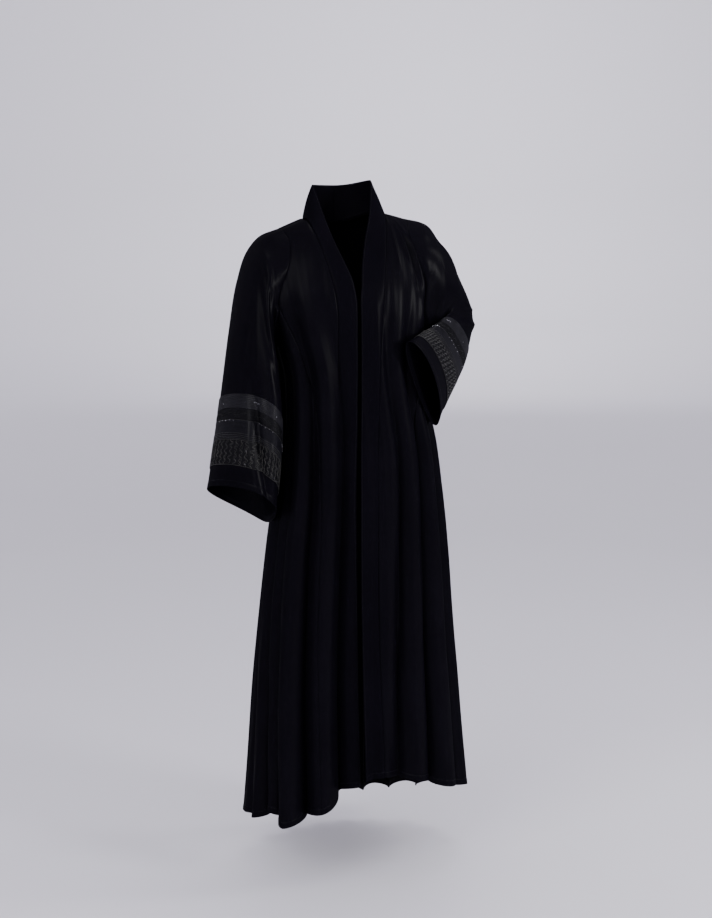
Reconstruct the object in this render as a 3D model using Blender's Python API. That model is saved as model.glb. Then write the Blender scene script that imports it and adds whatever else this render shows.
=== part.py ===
"""An open-front abaya: a full-length black cloak with wide trimmed sleeves, in the form it has when worn.

Metres, +Z up, the wearer faces -Y and the wearer's left is +X. The origin is midway between the two
points where the shoulder seams meet the neck seam. Every cloth piece is a thin closed wall cut from one of
two surfaces: the body, a stack of rings with upright folds, and the sleeve, a run of rings from its armhole
to its rim.
"""
import bmesh
import bpy
import numpy as np

CLOTH = 0.002           # thickness of the crepe with its turned allowances
SEAM = 0.0003           # gap between neighbouring pieces
TRIM = 0.0009           # thickness of the strips sewn round the sleeves
SQUARENESS = 2.4        # 2 is an ellipse, more is squarer
NECK_HALF = 0.092       # half the distance between the neck points
SHOULDER_FALL = 0.333   # drop of the shoulder seam for each metre outwards
SHOULDER_TILT = 0.068   # the left shoulder is carried higher, with the arm
OPENING_HALF = 0.003    # half the gap between the two front edges
OPENING_X = -0.0025     # the front edges hang a little to the wearer's right
ARMHOLE_TURN = -0.190   # heights where the armhole meets the side panel, and ends under the arm
UNDERARM = -0.285
NAPE_DOWN = 0.066       # how far down the back the neck seam dips, along the cloth
HEM_LEVEL = -1.360      # the level from which the uneven hem is measured

SECTION = ("height", "half_width", "front", "back", "centre_x", "centre_y")
SECTIONS = (
    (0.009, 0.205, 0.000, 0.000, 0.000, 0.000),
    (0.004, 0.205, 0.040, 0.042, 0.000, 0.000),
    (-0.012, 0.204, 0.066, 0.070, 0.000, 0.000),
    (-0.045, 0.203, 0.094, 0.090, 0.000, 0.000),
    (-0.095, 0.201, 0.121, 0.104, 0.000, -0.001),
    (-0.150, 0.198, 0.139, 0.114, 0.001, -0.003),
    (-0.205, 0.190, 0.147, 0.121, 0.003, -0.004),
    (-0.270, 0.176, 0.149, 0.126, 0.007, -0.005),
    (-0.340, 0.166, 0.149, 0.131, 0.015, -0.005),
    (-0.420, 0.172, 0.148, 0.136, 0.024, -0.005),
    (-0.500, 0.184, 0.148, 0.142, 0.032, -0.005),
    (-0.620, 0.197, 0.149, 0.149, 0.036, -0.005),
    (-0.760, 0.213, 0.151, 0.157, 0.034, -0.005),
    (-1.015, 0.237, 0.163, 0.176, 0.030, -0.005),
    (-1.360, 0.265, 0.192, 0.206, 0.030, -0.005),
)

# Upright folds, a row for each crest, by its angle round the body: 0 is the front, 90 the left.
# Rise is how far the crest stands off the ring at the hem, dip how deep the valley after it is.
FOLD = ("chest_angle", "waist_angle", "hem_angle", "hem_rise", "chest_dip", "waist_dip", "hem_dip")
FOLDS = (
    (-9.0, -8.9, -7.2, -0.012, 0.002, 0.003, 0.006),
    (9.0, 10.6, 3.0, -0.004, 0.006, 0.019, 0.030),
    (28.0, 27.7, 22.0, 0.004, 0.007, 0.019, 0.042),
    (45.0, 46.0, 43.0, 0.008, 0.005, 0.018, 0.044),
    (66.0, 65.0, 66.0, 0.006, 0.002, 0.016, 0.042),
    (90.0, 89.0, 92.0, 0.004, 0.002, 0.016, 0.042),
    (115.0, 114.0, 117.0, 0.002, 0.002, 0.016, 0.044),
    (138.0, 136.0, 139.0, 0.004, 0.003, 0.013, 0.046),
    (156.0, 155.0, 156.0, 0.000, 0.004, 0.014, 0.044),
    (172.0, 171.0, 171.0, 0.006, 0.003, 0.011, 0.040),
    (187.0, 186.0, 185.5, 0.002, 0.004, 0.014, 0.046),
    (203.0, 202.0, 200.0, 0.005, 0.004, 0.013, 0.042),
    (222.0, 221.0, 218.0, 0.000, 0.002, 0.013, 0.044),
    (244.0, 244.0, 246.0, 0.006, 0.002, 0.012, 0.044),
    (268.0, 269.0, 283.0, 0.002, 0.002, 0.008, 0.030),
    (286.0, 287.0, 300.0, -0.004, 0.003, 0.010, 0.026),
    (303.0, 304.0, 313.5, 0.028, 0.010, 0.024, 0.052),
    (322.0, 325.5, 331.0, 0.006, 0.007, 0.022, 0.044),
    (349.0, 349.5, 351.0, -0.034, 0.000, 0.000, 0.000),
)
FOLD_HEIGHTS = (-0.200, -0.530, -1.360)
FOLD_START = -0.060
CREST_BULGE = 0.26       # how far a crest bulges sideways, as a share of its fold's dip
BULGE_LIMIT = 0.125      # the most that it may, as a share of the fold's width

# The uneven hem, a row for each angle: how high it hangs.
HEM = ("angle", "height")
HEMS = ((-10.0, -1.284), (3.0, -1.270), (22.0, -1.288), (43.0, -1.322), (66.0, -1.346), (92.0, -1.375),
        (117.0, -1.402), (139.0, -1.420), (171.0, -1.434), (200.0, -1.434), (218.0, -1.430), (246.0, -1.416),
        (283.0, -1.388), (300.0, -1.358), (313.5, -1.376), (331.0, -1.346), (345.0, -1.306), (352.0, -1.296))

# Heights of the mesh rows of the body, from the shoulder seam to the hem.
ROW_HEIGHTS = (0.009, 0.004, -0.012, -0.045, -0.080, -0.115, -0.150, -0.190, -0.235, -0.285, -0.340, -0.410,
               -0.500, -0.620, -0.760, -0.900, -1.050, -1.200, -1.360)

# Seams of the body, a row for each height.
ARMHOLE = ("height", "front_x", "back_x")
ARMHOLES = ((0.009, 0.148, 0.148), (-0.020, 0.140, 0.142), (-0.050, 0.143, 0.147), (-0.080, 0.150, 0.153),
            (-0.130, 0.167, 0.160), (-0.190, 0.170, 0.166))
BAND_SEAM = ("height", "right_x", "left_x")
BAND_SEAMS = ((0.009, 0.092, 0.092), (-0.012, 0.087, 0.087), (-0.062, 0.0744, 0.0760),
              (-0.106, 0.0650, 0.0680), (-0.150, 0.0560, 0.0620), (-0.197, 0.0500, 0.0560),
              (-0.260, 0.0490, 0.0480), (-0.400, 0.0485, 0.0450), (-1.360, 0.0490, 0.0450))
SIDE_SEAM = ("height", "front_angle", "back_angle")
SIDE_SEAMS = ((-0.190, 56.5, 124.0), (-0.285, 51.0, 125.5), (-0.342, 49.5, 125.5), (-0.385, 45.5, 125.3),
              (-0.420, 42.0, 125.2), (-0.600, 36.0, 125.1), (-0.930, 32.5, 126.2), (-1.160, 30.5, 127.2),
              (-1.360, 29.0, 128.0))

# The free edge of the band and collar, a row for each height of the seam that it faces.
BAND_EDGE = ("seam_height", "x", "y", "z")
BAND_EDGES_RIGHT = ((0.009, 0.068, -0.002, 0.078), (-0.012, 0.0590, -0.034, 0.030),
                    (-0.062, 0.0435, -0.082, -0.040), (-0.106, 0.0280, -0.114, -0.088),
                    (-0.150, 0.0130, -0.137, -0.136))
BAND_EDGES_LEFT = ((0.009, 0.068, -0.002, 0.088), (-0.012, 0.0560, -0.036, 0.034),
                   (-0.062, 0.0270, -0.088, -0.046), (-0.106, 0.0120, -0.118, -0.098),
                   (-0.150, 0.0050, -0.138, -0.144))
COLLAR_BACK = (0.000, 0.058, 0.076)   # the collar's free edge above the nape
BAND_JOINS_BODY = -0.190              # from here down the band lies in the body's own surface

# The sleeves, a row for each ring: points on its outer, front, inner and back lines. The cap is the first
# ring, given by its distances from the armhole.
RING = ("outer", "front", "inner", "back")
CAP_RIGHT = ((-0.040, 0.002, -0.016), (-0.009, -0.004, -0.004), (-0.012, 0.000, -0.006),
             (-0.013, 0.002, -0.004))
CAP_LEFT = ((0.052, 0.002, -0.014), (0.012, -0.002, 0.000), (0.013, 0.000, -0.004), (0.015, 0.003, -0.002))
SLEEVE_RIGHT = (
    ((-0.210, 0.004, -0.060), (-0.184, -0.098, -0.138), (-0.186, -0.004, -0.300), (-0.188, 0.090, -0.138)),
    ((-0.239, 0.005, -0.135), (-0.196, -0.108, -0.186), (-0.184, -0.006, -0.326), (-0.205, 0.090, -0.195)),
    ((-0.259, 0.005, -0.240), (-0.200, -0.119, -0.266), (-0.171, -0.020, -0.384), (-0.213, 0.082, -0.300)),
    ((-0.284, 0.006, -0.398), (-0.204, -0.129, -0.396), (-0.163, -0.030, -0.482), (-0.214, 0.074, -0.466)),
    ((-0.318, 0.010, -0.607), (-0.224, -0.142, -0.604), (-0.172, -0.006, -0.690), (-0.216, 0.074, -0.680)),
)
SLEEVE_LEFT = (
    ((0.234, 0.010, -0.054), (0.196, -0.092, -0.125), (0.208, 0.002, -0.294), (0.206, 0.098, -0.120)),
    ((0.292, 0.029, -0.141), (0.228, -0.082, -0.162), (0.224, 0.006, -0.292), (0.244, 0.118, -0.168)),
    ((0.336, 0.037, -0.253), (0.251, -0.056, -0.202), (0.238, 0.022, -0.306), (0.304, 0.138, -0.242)),
    ((0.322, 0.030, -0.295), (0.223, -0.072, -0.225), (0.227, -0.003, -0.336), (0.299, 0.071, -0.347)),
    ((0.169, -0.159, -0.345), (0.102, -0.172, -0.268), (0.133, -0.142, -0.376), (0.196, -0.107, -0.467)),
)
TRIM_LENGTH = 0.215     # from the rim to the top of the trim, which is the last but one ring
HEM_DEPTH = 0.050
STRIP = ("name", "width", "red", "green", "blue", "roughness")
STRIPS = (("lace_strip", 0.060, 0.050, 0.050, 0.054, 0.60),
          ("satin_strip", 0.046, 0.070, 0.068, 0.078, 0.35),
          ("vine_strip", 0.026, 0.030, 0.029, 0.034, 0.55),
          ("tucked_strip", 0.033, 0.066, 0.064, 0.074, 0.40))
# Mesh rows of a sleeve above its trim, counted in rings from the armhole.
UPPER_STEPS = (0.7, 1.3, 1.9, 2.5, 3.0, 3.5, 4.0, 4.5)

# Drag folds, a row for each: three points of its line, how wide and how high it is. A trough is negative.
DRAG = ("start", "middle", "end", "width", "rise")
DRAGS = (
    ((0.103, -0.041, 0.003), (0.137, -0.079, -0.055), (0.166, -0.100, -0.165), 0.009, 0.007),
    ((0.096, -0.040, 0.005), (0.118, -0.083, -0.048), (0.142, -0.107, -0.130), 0.008, 0.006),
    ((0.112, -0.062, -0.020), (0.138, -0.092, -0.082), (0.152, -0.112, -0.165), 0.008, -0.006),
    ((0.174, -0.094, -0.120), (0.163, -0.110, -0.190), (0.150, -0.116, -0.250), 0.011, 0.007),
    ((0.225, -0.040, -0.050), (0.250, -0.045, -0.120), (0.262, -0.050, -0.190), 0.012, 0.006),
    ((0.335, 0.070, -0.230), (0.290, -0.010, -0.225), (0.245, -0.060, -0.215), 0.011, -0.007),
    ((0.345, 0.050, -0.262), (0.300, -0.025, -0.245), (0.255, -0.060, -0.236), 0.009, 0.006),
    ((-0.203, -0.070, -0.080), (-0.192, -0.104, -0.165), (-0.186, -0.118, -0.280), 0.010, -0.007),
    ((-0.214, -0.080, -0.120), (-0.211, -0.110, -0.235), (-0.183, -0.126, -0.370), 0.010, -0.008),
    ((-0.240, -0.100, -0.350), (-0.230, -0.129, -0.490), (-0.200, -0.142, -0.650), 0.013, -0.013),
)

BLACK = (0.0085, 0.0080, 0.0105)


def column(rows, names, name):
    return np.array([row[names.index(name)] for row in rows], dtype=float)


def smooth(knots, values, at):
    """Smooth curve through the values of a table; the last axis of values may hold several."""
    knots, values, at = np.asarray(knots, float), np.asarray(values, float), np.asarray(at, float)
    slopes = np.gradient(values, knots, axis=0)
    at = np.clip(at, knots[0], knots[-1])
    index = np.clip(np.searchsorted(knots, at, side="right") - 1, 0, len(knots) - 2)
    span = knots[index + 1] - knots[index]
    part = (at - knots[index]) / span
    if values.ndim > 1:
        part, span = part[..., None], span[..., None]
    return ((2 * part ** 3 - 3 * part ** 2 + 1) * values[index] + (part ** 3 - 2 * part ** 2 + part) * span
            * slopes[index] + (3 * part ** 2 - 2 * part ** 3) * values[index + 1]
            + (part ** 3 - part ** 2) * span * slopes[index + 1])


def eased(value):
    value = np.clip(value, 0, 1)
    return value * value * (3 - 2 * value)


HEIGHTS = column(SECTIONS, SECTION, "height")
FRONTS = column(SECTIONS, SECTION, "front")
DOWN = np.concatenate(([0], np.cumsum(np.hypot(np.diff(HEIGHTS), np.diff(FRONTS)))))


def down_at(height):
    """Distance down the cloth at which the body's rings reach a height."""
    fine = np.linspace(0, DOWN[-1], 2000)
    return np.interp(-np.asarray(height, float), -smooth(DOWN, HEIGHTS, fine), fine)


def section(down):
    return [smooth(DOWN, column(SECTIONS, SECTION, name), down) for name in SECTION]


def angle_at(x, down):
    """Angle at which the front of a ring passes over x."""
    height, half, front, back, centre, _ = section(down)
    across = np.clip((x - centre) / half, -0.999, 0.999)
    along = (1 - np.abs(across) ** SQUARENESS) ** (1 / SQUARENESS)
    return np.degrees(np.arctan2(across, along))


def ring(angle, down):
    """The body without folds."""
    height, half, front, back, centre_x, centre_y = section(down)
    turn = np.radians(angle)
    size = (np.abs(np.sin(turn)) ** SQUARENESS + np.abs(np.cos(turn)) ** SQUARENESS) ** (-1 / SQUARENESS)
    x = centre_x + half * np.sin(turn) * size
    y = centre_y - np.where(np.cos(turn) > 0, front, back) * np.cos(turn) * size
    slope = eased(1 - (HEIGHTS[0] - height) / 0.24)
    z = height + slope * (SHOULDER_TILT * x - SHOULDER_FALL * np.maximum(np.abs(x) - NECK_HALF, 0))
    return np.stack((x, y, z), axis=-1)


def fold_value(names, down):
    """A fold's column, from its values at the chest, waist and hem."""
    height = smooth(DOWN, HEIGHTS, down)
    values = np.stack([column(FOLDS, FOLD, name) for name in names])
    return smooth([-h for h in FOLD_HEIGHTS], values, -height)


def drape(point, normal):
    """Pushes points along their normals where a drag fold passes."""
    push = np.zeros(point.shape[:-1])
    for start, middle, end, width, rise in DRAGS:
        nearest, place = np.full(point.shape[:-1], 9.0), np.zeros(point.shape[:-1])
        for number, (a, b) in enumerate(((start, middle), (middle, end))):
            a, b = np.array(a), np.array(b)
            part = np.clip(((point - a) @ (b - a)) / ((b - a) @ (b - a)), 0, 1)
            away = np.linalg.norm(point - a - part[..., None] * (b - a), axis=-1)
            place = np.where(away < nearest, (number + part) / 2, place)
            nearest = np.minimum(nearest, away)
        push += rise * np.exp(-(nearest / width) ** 2) * np.sin(np.pi * np.clip(place, 0.04, 0.96)) ** 0.7
    return point + normal * push[..., None]


def body(angle, down):
    """The body with its upright folds and drag folds."""
    angle, down = np.broadcast_arrays(np.asarray(angle, float), np.asarray(down, float))
    base = ring(angle, down)
    tangent = ring(angle + 0.5, down) - ring(angle - 0.5, down)
    tangent[..., 2] = 0
    degree = np.linalg.norm(tangent, axis=-1)
    tangent /= np.maximum(degree, 1e-9)[..., None]
    outward = np.stack((tangent[..., 1], -tangent[..., 0], np.zeros_like(angle)), axis=-1)
    height = base[..., 2]
    crests = fold_value(("chest_angle", "waist_angle", "hem_angle"), down)
    grown = eased((FOLD_START - height) / 0.20)
    hem_share = np.clip((FOLD_HEIGHTS[1] - height) / (FOLD_HEIGHTS[1] - FOLD_HEIGHTS[2]), 0, 1)
    dips = fold_value(("chest_dip", "waist_dip", "hem_dip"), down) * grown[..., None]
    rises = column(FOLDS, FOLD, "hem_rise") * (0.25 * grown + 0.75 * hem_share)[..., None]
    phase, rise = np.zeros_like(angle), rises[..., 0].copy()
    dip, width = np.zeros_like(angle), np.ones_like(angle)
    for number in range(len(FOLDS) - 1):
        start, stop = crests[..., number], crests[..., number + 1]
        part = np.clip((angle - start) / (stop - start), 0, 1)
        phase = phase + part
        rise = rise + (rises[..., number + 1] - rises[..., number]) * eased(part)
        within = (angle >= start) & (angle < stop)
        dip = np.where(within, dips[..., number], dip)
        width = np.where(within, (stop - start) * degree, width)
    reach = rise - dip * np.sin(np.pi * phase) ** 2
    # The crests bulge sideways over the valleys.
    widened = np.minimum(CREST_BULGE * dip, BULGE_LIMIT * width) * np.sin(2 * np.pi * phase)
    point = base + outward * reach[..., None] + tangent * widened[..., None]
    hem = np.interp(angle, column(HEMS, HEM, "angle"), column(HEMS, HEM, "height"))
    point[..., 2] += (hem - HEM_LEVEL) * eased((-0.85 - height) / (-0.85 - HEM_LEVEL))
    return drape(point, outward)


def unit(vectors):
    return vectors / np.maximum(np.linalg.norm(vectors, axis=-1, keepdims=True), 1e-12)


def mesh_normals(points, sign, closed=False):
    """Normals at the points of a mesh of rows and columns, halfway between the faces round each point."""
    steps = [unit(np.diff(points, axis=axis)) for axis in (0, 1)]
    first, second = steps[0][:1], steps[0][-1:]
    along = np.concatenate((first, steps[0][:-1] + steps[0][1:], second))
    if closed:
        first = second = steps[1][:, -1:] + steps[1][:, :1]
    else:
        first, second = steps[1][:, :1], steps[1][:, -1:]
    across = np.concatenate((first, steps[1][:, :-1] + steps[1][:, 1:], second), axis=1)
    return sign * unit(np.cross(along, across))


def share(*edges):
    """Gives the edges that meet in a seam the same normals, so that the cloths are mitred."""
    mean = unit(sum(normal[place] for normal, place in edges))
    for normal, place in edges:
        normal[place] = mean


def draw_back(points, normal, place, inside):
    """Moves an edge back from its seam by half the gap, square to the mitre, towards the points inside it."""
    edge = points[place]
    away = unit(np.cross(np.gradient(edge, axis=0), normal[place]))
    away = away * np.sign(np.sum(away * (points[inside] - edge), axis=-1, keepdims=True))
    points[place] = edge + away * SEAM / 2


def material(name, colour, roughness):
    made = bpy.data.materials.new(name)
    made.use_nodes = True
    shader = made.node_tree.nodes["Principled BSDF"]
    shader.inputs["Base Color"].default_value = (*colour, 1)
    shader.inputs["Roughness"].default_value = roughness
    shader.inputs["Metallic"].default_value = 0.0
    return made


def wall(name, points, normal, closed, finish, thickness=CLOTH):
    """Makes one wall from a grid of points. A closed grid is a tube, whose last column meets its first."""
    rows, columns = points.shape[:2]
    mesh = bmesh.new()
    for points in (points, points - thickness * normal):
        bmesh.ops.create_grid(mesh, x_segments=columns - 1, y_segments=rows - 1, size=1)
        mesh.verts.ensure_lookup_table()
        for vertex, point in zip(mesh.verts[-rows * columns:], points.reshape(-1, 3)):
            vertex.co = point
    half = len(mesh.faces) // 2
    bmesh.ops.triangulate(mesh, faces=mesh.faces[:], quad_method="FIXED")
    mesh.faces.ensure_lookup_table()
    mesh.verts.ensure_lookup_table()
    top = [c for c in range(columns)]
    bottom = [(rows - 1) * columns + c for c in range(columns)]
    if closed:
        runs = (top, bottom)
    else:
        left = [r * columns for r in range(rows)]
        right = [r * columns + columns - 1 for r in range(rows)]
        runs = (top, bottom, left, right)
    count = rows * columns
    for run in runs:
        for a, b in zip(run, run[1:]):
            mesh.faces.new([mesh.verts[i] for i in (a, b, b + count, a + count)])
    if closed:
        bmesh.ops.remove_doubles(mesh, verts=mesh.verts[:], dist=1e-6)
    bmesh.ops.recalc_face_normals(mesh, faces=mesh.faces[:])
    data = bpy.data.meshes.new(name)
    mesh.to_mesh(data)
    mesh.free()
    data.shade_smooth()
    data.set_sharp_from_angle(angle=np.radians(50))
    data.materials.append(finish)
    made = bpy.data.objects.new(name, data)
    bpy.context.scene.collection.objects.link(made)
    return made


def band_seam(side, down):
    x = column(BAND_SEAMS, BAND_SEAM, "left_x" if side > 0 else "right_x")
    x = smooth(-column(BAND_SEAMS, BAND_SEAM, "height"), x, -smooth(DOWN, HEIGHTS, down))
    return angle_at(side * x, down)


def armhole_seam(side, face, down):
    """Angle of the armhole, at the front or the back of one side."""
    height = smooth(DOWN, HEIGHTS, down)
    x = column(ARMHOLES, ARMHOLE, face + "_x")
    x = smooth(-column(ARMHOLES, ARMHOLE, "height"), x, -height)
    angle = angle_at(side * x, down)
    return angle if face == "front" else side * 180 - angle


def side_seam(side, face, down):
    height = smooth(DOWN, HEIGHTS, down)
    angles = column(SIDE_SEAMS, SIDE_SEAM, face + "_angle")
    return side * smooth(-column(SIDE_SEAMS, SIDE_SEAM, "height"), angles, -height)


def outer_seam(side, face, down):
    """Where the front or back panel ends: the armhole above, the side panel's seam below."""
    above = smooth(DOWN, HEIGHTS, down) > ARMHOLE_TURN + 1e-6
    return np.where(above, armhole_seam(side, face, down), side_seam(side, face, down))


def under_arm(share):
    """How far the armhole dips below its turn, along the side panel's top."""
    return np.sin(np.pi * np.clip(share, 0, 1)) ** 0.75


def wrap(side, angle):
    """Angles as the tables count them, from the left front edge right round to the right one."""
    return angle + (360 if side < 0 else 0)


def crest_angles(start, stop, parts):
    """Phases of the folds at which a panel's mesh columns stand: crests, valleys and between them."""
    crests = column(FOLDS, FOLD, "hem_angle")
    low, high = np.interp((min(start, stop), max(start, stop)), crests, np.arange(len(crests)))
    inside = np.arange(0, len(crests) - 1 + 1e-9, 1 / parts)
    inside = inside[(inside > low + 0.12) & (inside < high - 0.12)]
    phases = np.concatenate(([low], inside, [high]))
    return phases if start < stop else phases[::-1]


def across_panel(first, last, rows, phases):
    """Angles of a panel's points: even between its seams above the waist, on the folds' lines below it."""
    shares = (phases - phases[0]) / (phases[-1] - phases[0])
    even = first[:, None] + (last - first)[:, None] * shares
    crests = fold_value(("chest_angle", "waist_angle", "hem_angle"), rows)
    on_fold = np.stack([np.interp(phases, np.arange(crests.shape[1]), row) for row in crests])
    count = np.arange(len(phases))
    near_first = np.clip(1 - count / 4, 0, 1)
    near_last = near_first[::-1]
    on_fold = (on_fold + (first - on_fold[:, 0])[:, None] * near_first
               + (last - on_fold[:, -1])[:, None] * near_last)
    below = eased((-0.36 - smooth(DOWN, HEIGHTS, rows)) / 0.22)[:, None]
    return even + (on_fold - even) * below, shares


ROWS = down_at(ROW_HEIGHTS)
TURN_ROW = ROW_HEIGHTS.index(ARMHOLE_TURN)


def front_grid(side):
    """Angles and distances down of the points of the front between the band and the side panel."""
    inner_edge, outer_edge = band_seam(side, ROWS), outer_seam(side, "front", ROWS)
    shares = np.linspace(0, 1, 8)
    angle = inner_edge[:, None] + (outer_edge - inner_edge)[:, None] * shares
    return wrap(side, angle), np.repeat(ROWS[:, None], len(shares), axis=1)


def side_grid(side):
    """Angles and distances down of the flared panel under the arm, from its front seam to its back one."""
    rows = ROWS[TURN_ROW:]
    front = wrap(side, side_seam(side, "front", rows))
    back = wrap(side, side_seam(side, "back", rows))
    angle, shares = across_panel(front, back, rows, crest_angles(front[-1], back[-1], 4))
    fade = eased(1 - (rows - rows[0]) / (down_at(-0.50) - rows[0]))
    deep = (down_at(UNDERARM) - rows[0]) * under_arm(shares)
    down = rows[:, None] + fade[:, None] * deep
    return angle, down


def neck_edge(shares):
    """Top edge of the back: along one shoulder, round the nape, along the other shoulder."""
    corner = float(angle_at(NECK_HALF, 0.0))
    tip = float(armhole_seam(1, "back", np.array(0.0)))
    first, last = shares[BACK_SHOULDER], shares[-1 - BACK_SHOULDER]
    angle = np.interp(shares, (0, first, last, 1), (tip, 180 - corner, 180 + corner, 360 - tip))
    dip = np.sin(np.pi * np.clip((angle - 180 + corner) / (2 * corner), 0, 1)) ** 0.6
    return angle, NAPE_DOWN * dip


BACK_SHOULDER = 3       # mesh columns of the back along each shoulder seam


def back_grid():
    left, right = outer_seam(1, "back", ROWS), wrap(-1, outer_seam(-1, "back", ROWS))
    angle, shares = across_panel(left, right, ROWS, crest_angles(left[-1], right[-1], 4))
    top_angle, top_down = neck_edge(shares)
    fade = eased(1 - ROWS / 0.16)[:, None]
    angle = angle + fade * (top_angle - angle[0])
    down = ROWS[:, None] + fade * top_down
    return angle, down


def band_points(side, seams):
    """Collar and front band of one side in one strip, and how many of its rows lie on the nape."""
    seams = seams.copy()
    centre, corner = seams[0].copy(), seams[-1]
    edge_rows = BAND_EDGES_LEFT if side > 0 else BAND_EDGES_RIGHT
    first_edge = np.array((side * edge_rows[0][1], edge_rows[0][2], edge_rows[0][3]))
    share = (seams[:, 0] - centre[0]) / (corner[0] - centre[0])
    swing = np.sqrt(np.maximum(1 - share ** 2.2, 0))
    edges = np.stack((COLLAR_BACK[0] + (first_edge[0] - COLLAR_BACK[0]) * share,
                      first_edge[1] + (COLLAR_BACK[1] - first_edge[1]) * swing,
                      COLLAR_BACK[2] + (first_edge[2] - COLLAR_BACK[2]) * share ** 2), axis=-1)
    nape = len(seams)
    seams[0, 0] = edges[0, 0] = side * SEAM / 2
    rows = ROWS[1:]
    seam_angle = band_seam(side, rows)
    edge_x = OPENING_X + side * OPENING_HALF
    on_body = body(wrap(side, seam_angle), rows)
    edge_body = body(wrap(side, angle_at(edge_x, rows)), rows)
    heights = smooth(DOWN, HEIGHTS, rows)
    table = np.array([(side * x, y, z) for _, x, y, z in edge_rows] + [edge_body[TURN_ROW - 1]])
    free = smooth([-row[0] for row in edge_rows] + [-BAND_JOINS_BODY], table, -heights)
    lies = heights <= BAND_JOINS_BODY + 1e-6
    edge_front = np.where(lies[:, None], edge_body, free)
    seams, edges = np.concatenate((seams, on_body)), np.concatenate((edges, edge_front))
    across = np.linspace(0, 1, 4)
    points = seams[:, None] + (edges - seams)[:, None] * across[None, :, None]
    for row in np.nonzero(lies)[0]:
        angles = seam_angle[row] + (angle_at(edge_x, rows[row]) - seam_angle[row]) * across
        points[nape + row] = body(wrap(side, angles), np.full(4, rows[row]))
    standing = np.concatenate((np.ones(nape), eased((heights - BAND_JOINS_BODY) / 0.15)))
    crown = 0.0025 * np.sin(np.pi * across)[None, :, None] * standing[:, None, None]
    return points + mesh_normals(points, -side) * crown, nape


def sleeve_surface(side, loop):
    """A function of ring number and column for one sleeve."""
    rings = np.array(SLEEVE_LEFT if side > 0 else SLEEVE_RIGHT)
    cap = np.array(CAP_LEFT if side > 0 else CAP_RIGHT)
    steps = np.concatenate(([0], np.cumsum(np.linalg.norm(np.diff(loop, axis=0), axis=1))))
    under = int(np.argmin(loop[:, 2]))
    near = 180 * steps[:under + 1] / steps[under]
    far = 180 + 180 * (steps[under + 1:] - steps[under]) / (steps[-1] - steps[under])
    turns = np.concatenate((near, far))
    even = np.linspace(0, 360, len(turns))

    def on_ring(ring, turn):
        outer, front, inner, back = ring
        turn = turn[..., None]
        return ((outer + front + inner + back) / 4 + (outer - inner) / 2 * np.cos(turn)
                + (front - back) / 2 * np.sin(turn) + (outer + inner - front - back) / 4 * np.cos(2 * turn))

    def take(array, at):
        return np.take_along_axis(array, np.broadcast_to(at[None, ..., None], (1, *at.shape, 3)), 0)[0]

    def surface(place, number):
        first_turn = np.interp(number, np.arange(len(turns)), turns)
        spread = np.interp(number, np.arange(len(turns)), even)
        turn = np.radians(first_turn + (spread - first_turn) * eased(place / 4.5))
        low = np.clip(np.floor(number).astype(int), 0, len(loop) - 2)
        part = (number - low)[..., None]
        start = loop[low] * (1 - part) + loop[low + 1] * part
        first_ring = start + on_ring(cap, np.radians(first_turn))
        values = np.stack([start, first_ring] + [on_ring(ring, turn) for ring in rings])
        chords = np.diff(values, axis=0)
        heads = unit(chords)
        heads = np.concatenate((heads[:1], (heads[:-1] + heads[1:]) / 2, heads[-1:]))
        index = np.clip(np.floor(place).astype(int), 0, len(values) - 2)
        part = (place - index)[..., None]
        length = np.linalg.norm(take(chords, index), axis=-1, keepdims=True)
        return ((2 * part ** 3 - 3 * part ** 2 + 1) * take(values, index)
                + (part ** 3 - 2 * part ** 2 + part) * length * take(heads, index)
                + (3 * part ** 2 - 2 * part ** 3) * take(values, index + 1)
                + (part ** 3 - part ** 2) * length * take(heads, index + 1))

    return surface


def sleeve_places():
    """Mesh rows of a sleeve: the rings above the trim, then the edges of the strips, then the rim."""
    last = len(SLEEVE_LEFT) + 1
    from_rim = [0.0, HEM_DEPTH]
    for strip in STRIPS:
        from_rim.append(from_rim[-1] + strip[1])
    edges = [last - distance / TRIM_LENGTH for distance in reversed(from_rim)]
    return np.array([0.0, *UPPER_STEPS, *edges])


def sleeve_points(side, loop):
    surface = sleeve_surface(side, loop)
    places = sleeve_places()
    place, number = np.meshgrid(places, np.arange(len(loop), dtype=float), indexing="ij")
    points = surface(place, number)
    points[:, -1] = points[:, 0]
    normal = mesh_normals(points, -side, True)
    points = drape(points, normal * eased(place / 0.6)[..., None])
    points[:, -1] = points[:, 0]
    return points, mesh_normals(points, -side, True)


def strips(side, points, normal, finishes):
    """The four strips of trim round a sleeve above its hem: lace, satin, vine and tucked."""
    label, row = "left" if side > 0 else "right", len(points) - 2
    for strip, finish in zip(STRIPS, finishes):
        upper, lower = points[row - 1], points[row]
        inset = SEAM / 2 / np.linalg.norm(upper - lower, axis=-1, keepdims=True)
        pair = np.stack((upper + (lower - upper) * inset, lower + (upper - lower) * inset))
        away = np.stack((normal[row - 1], normal[row]))
        wall(strip[0] + "_" + label, pair + away * (SEAM + TRIM), away, True, finish, TRIM)
        row -= 1


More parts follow.
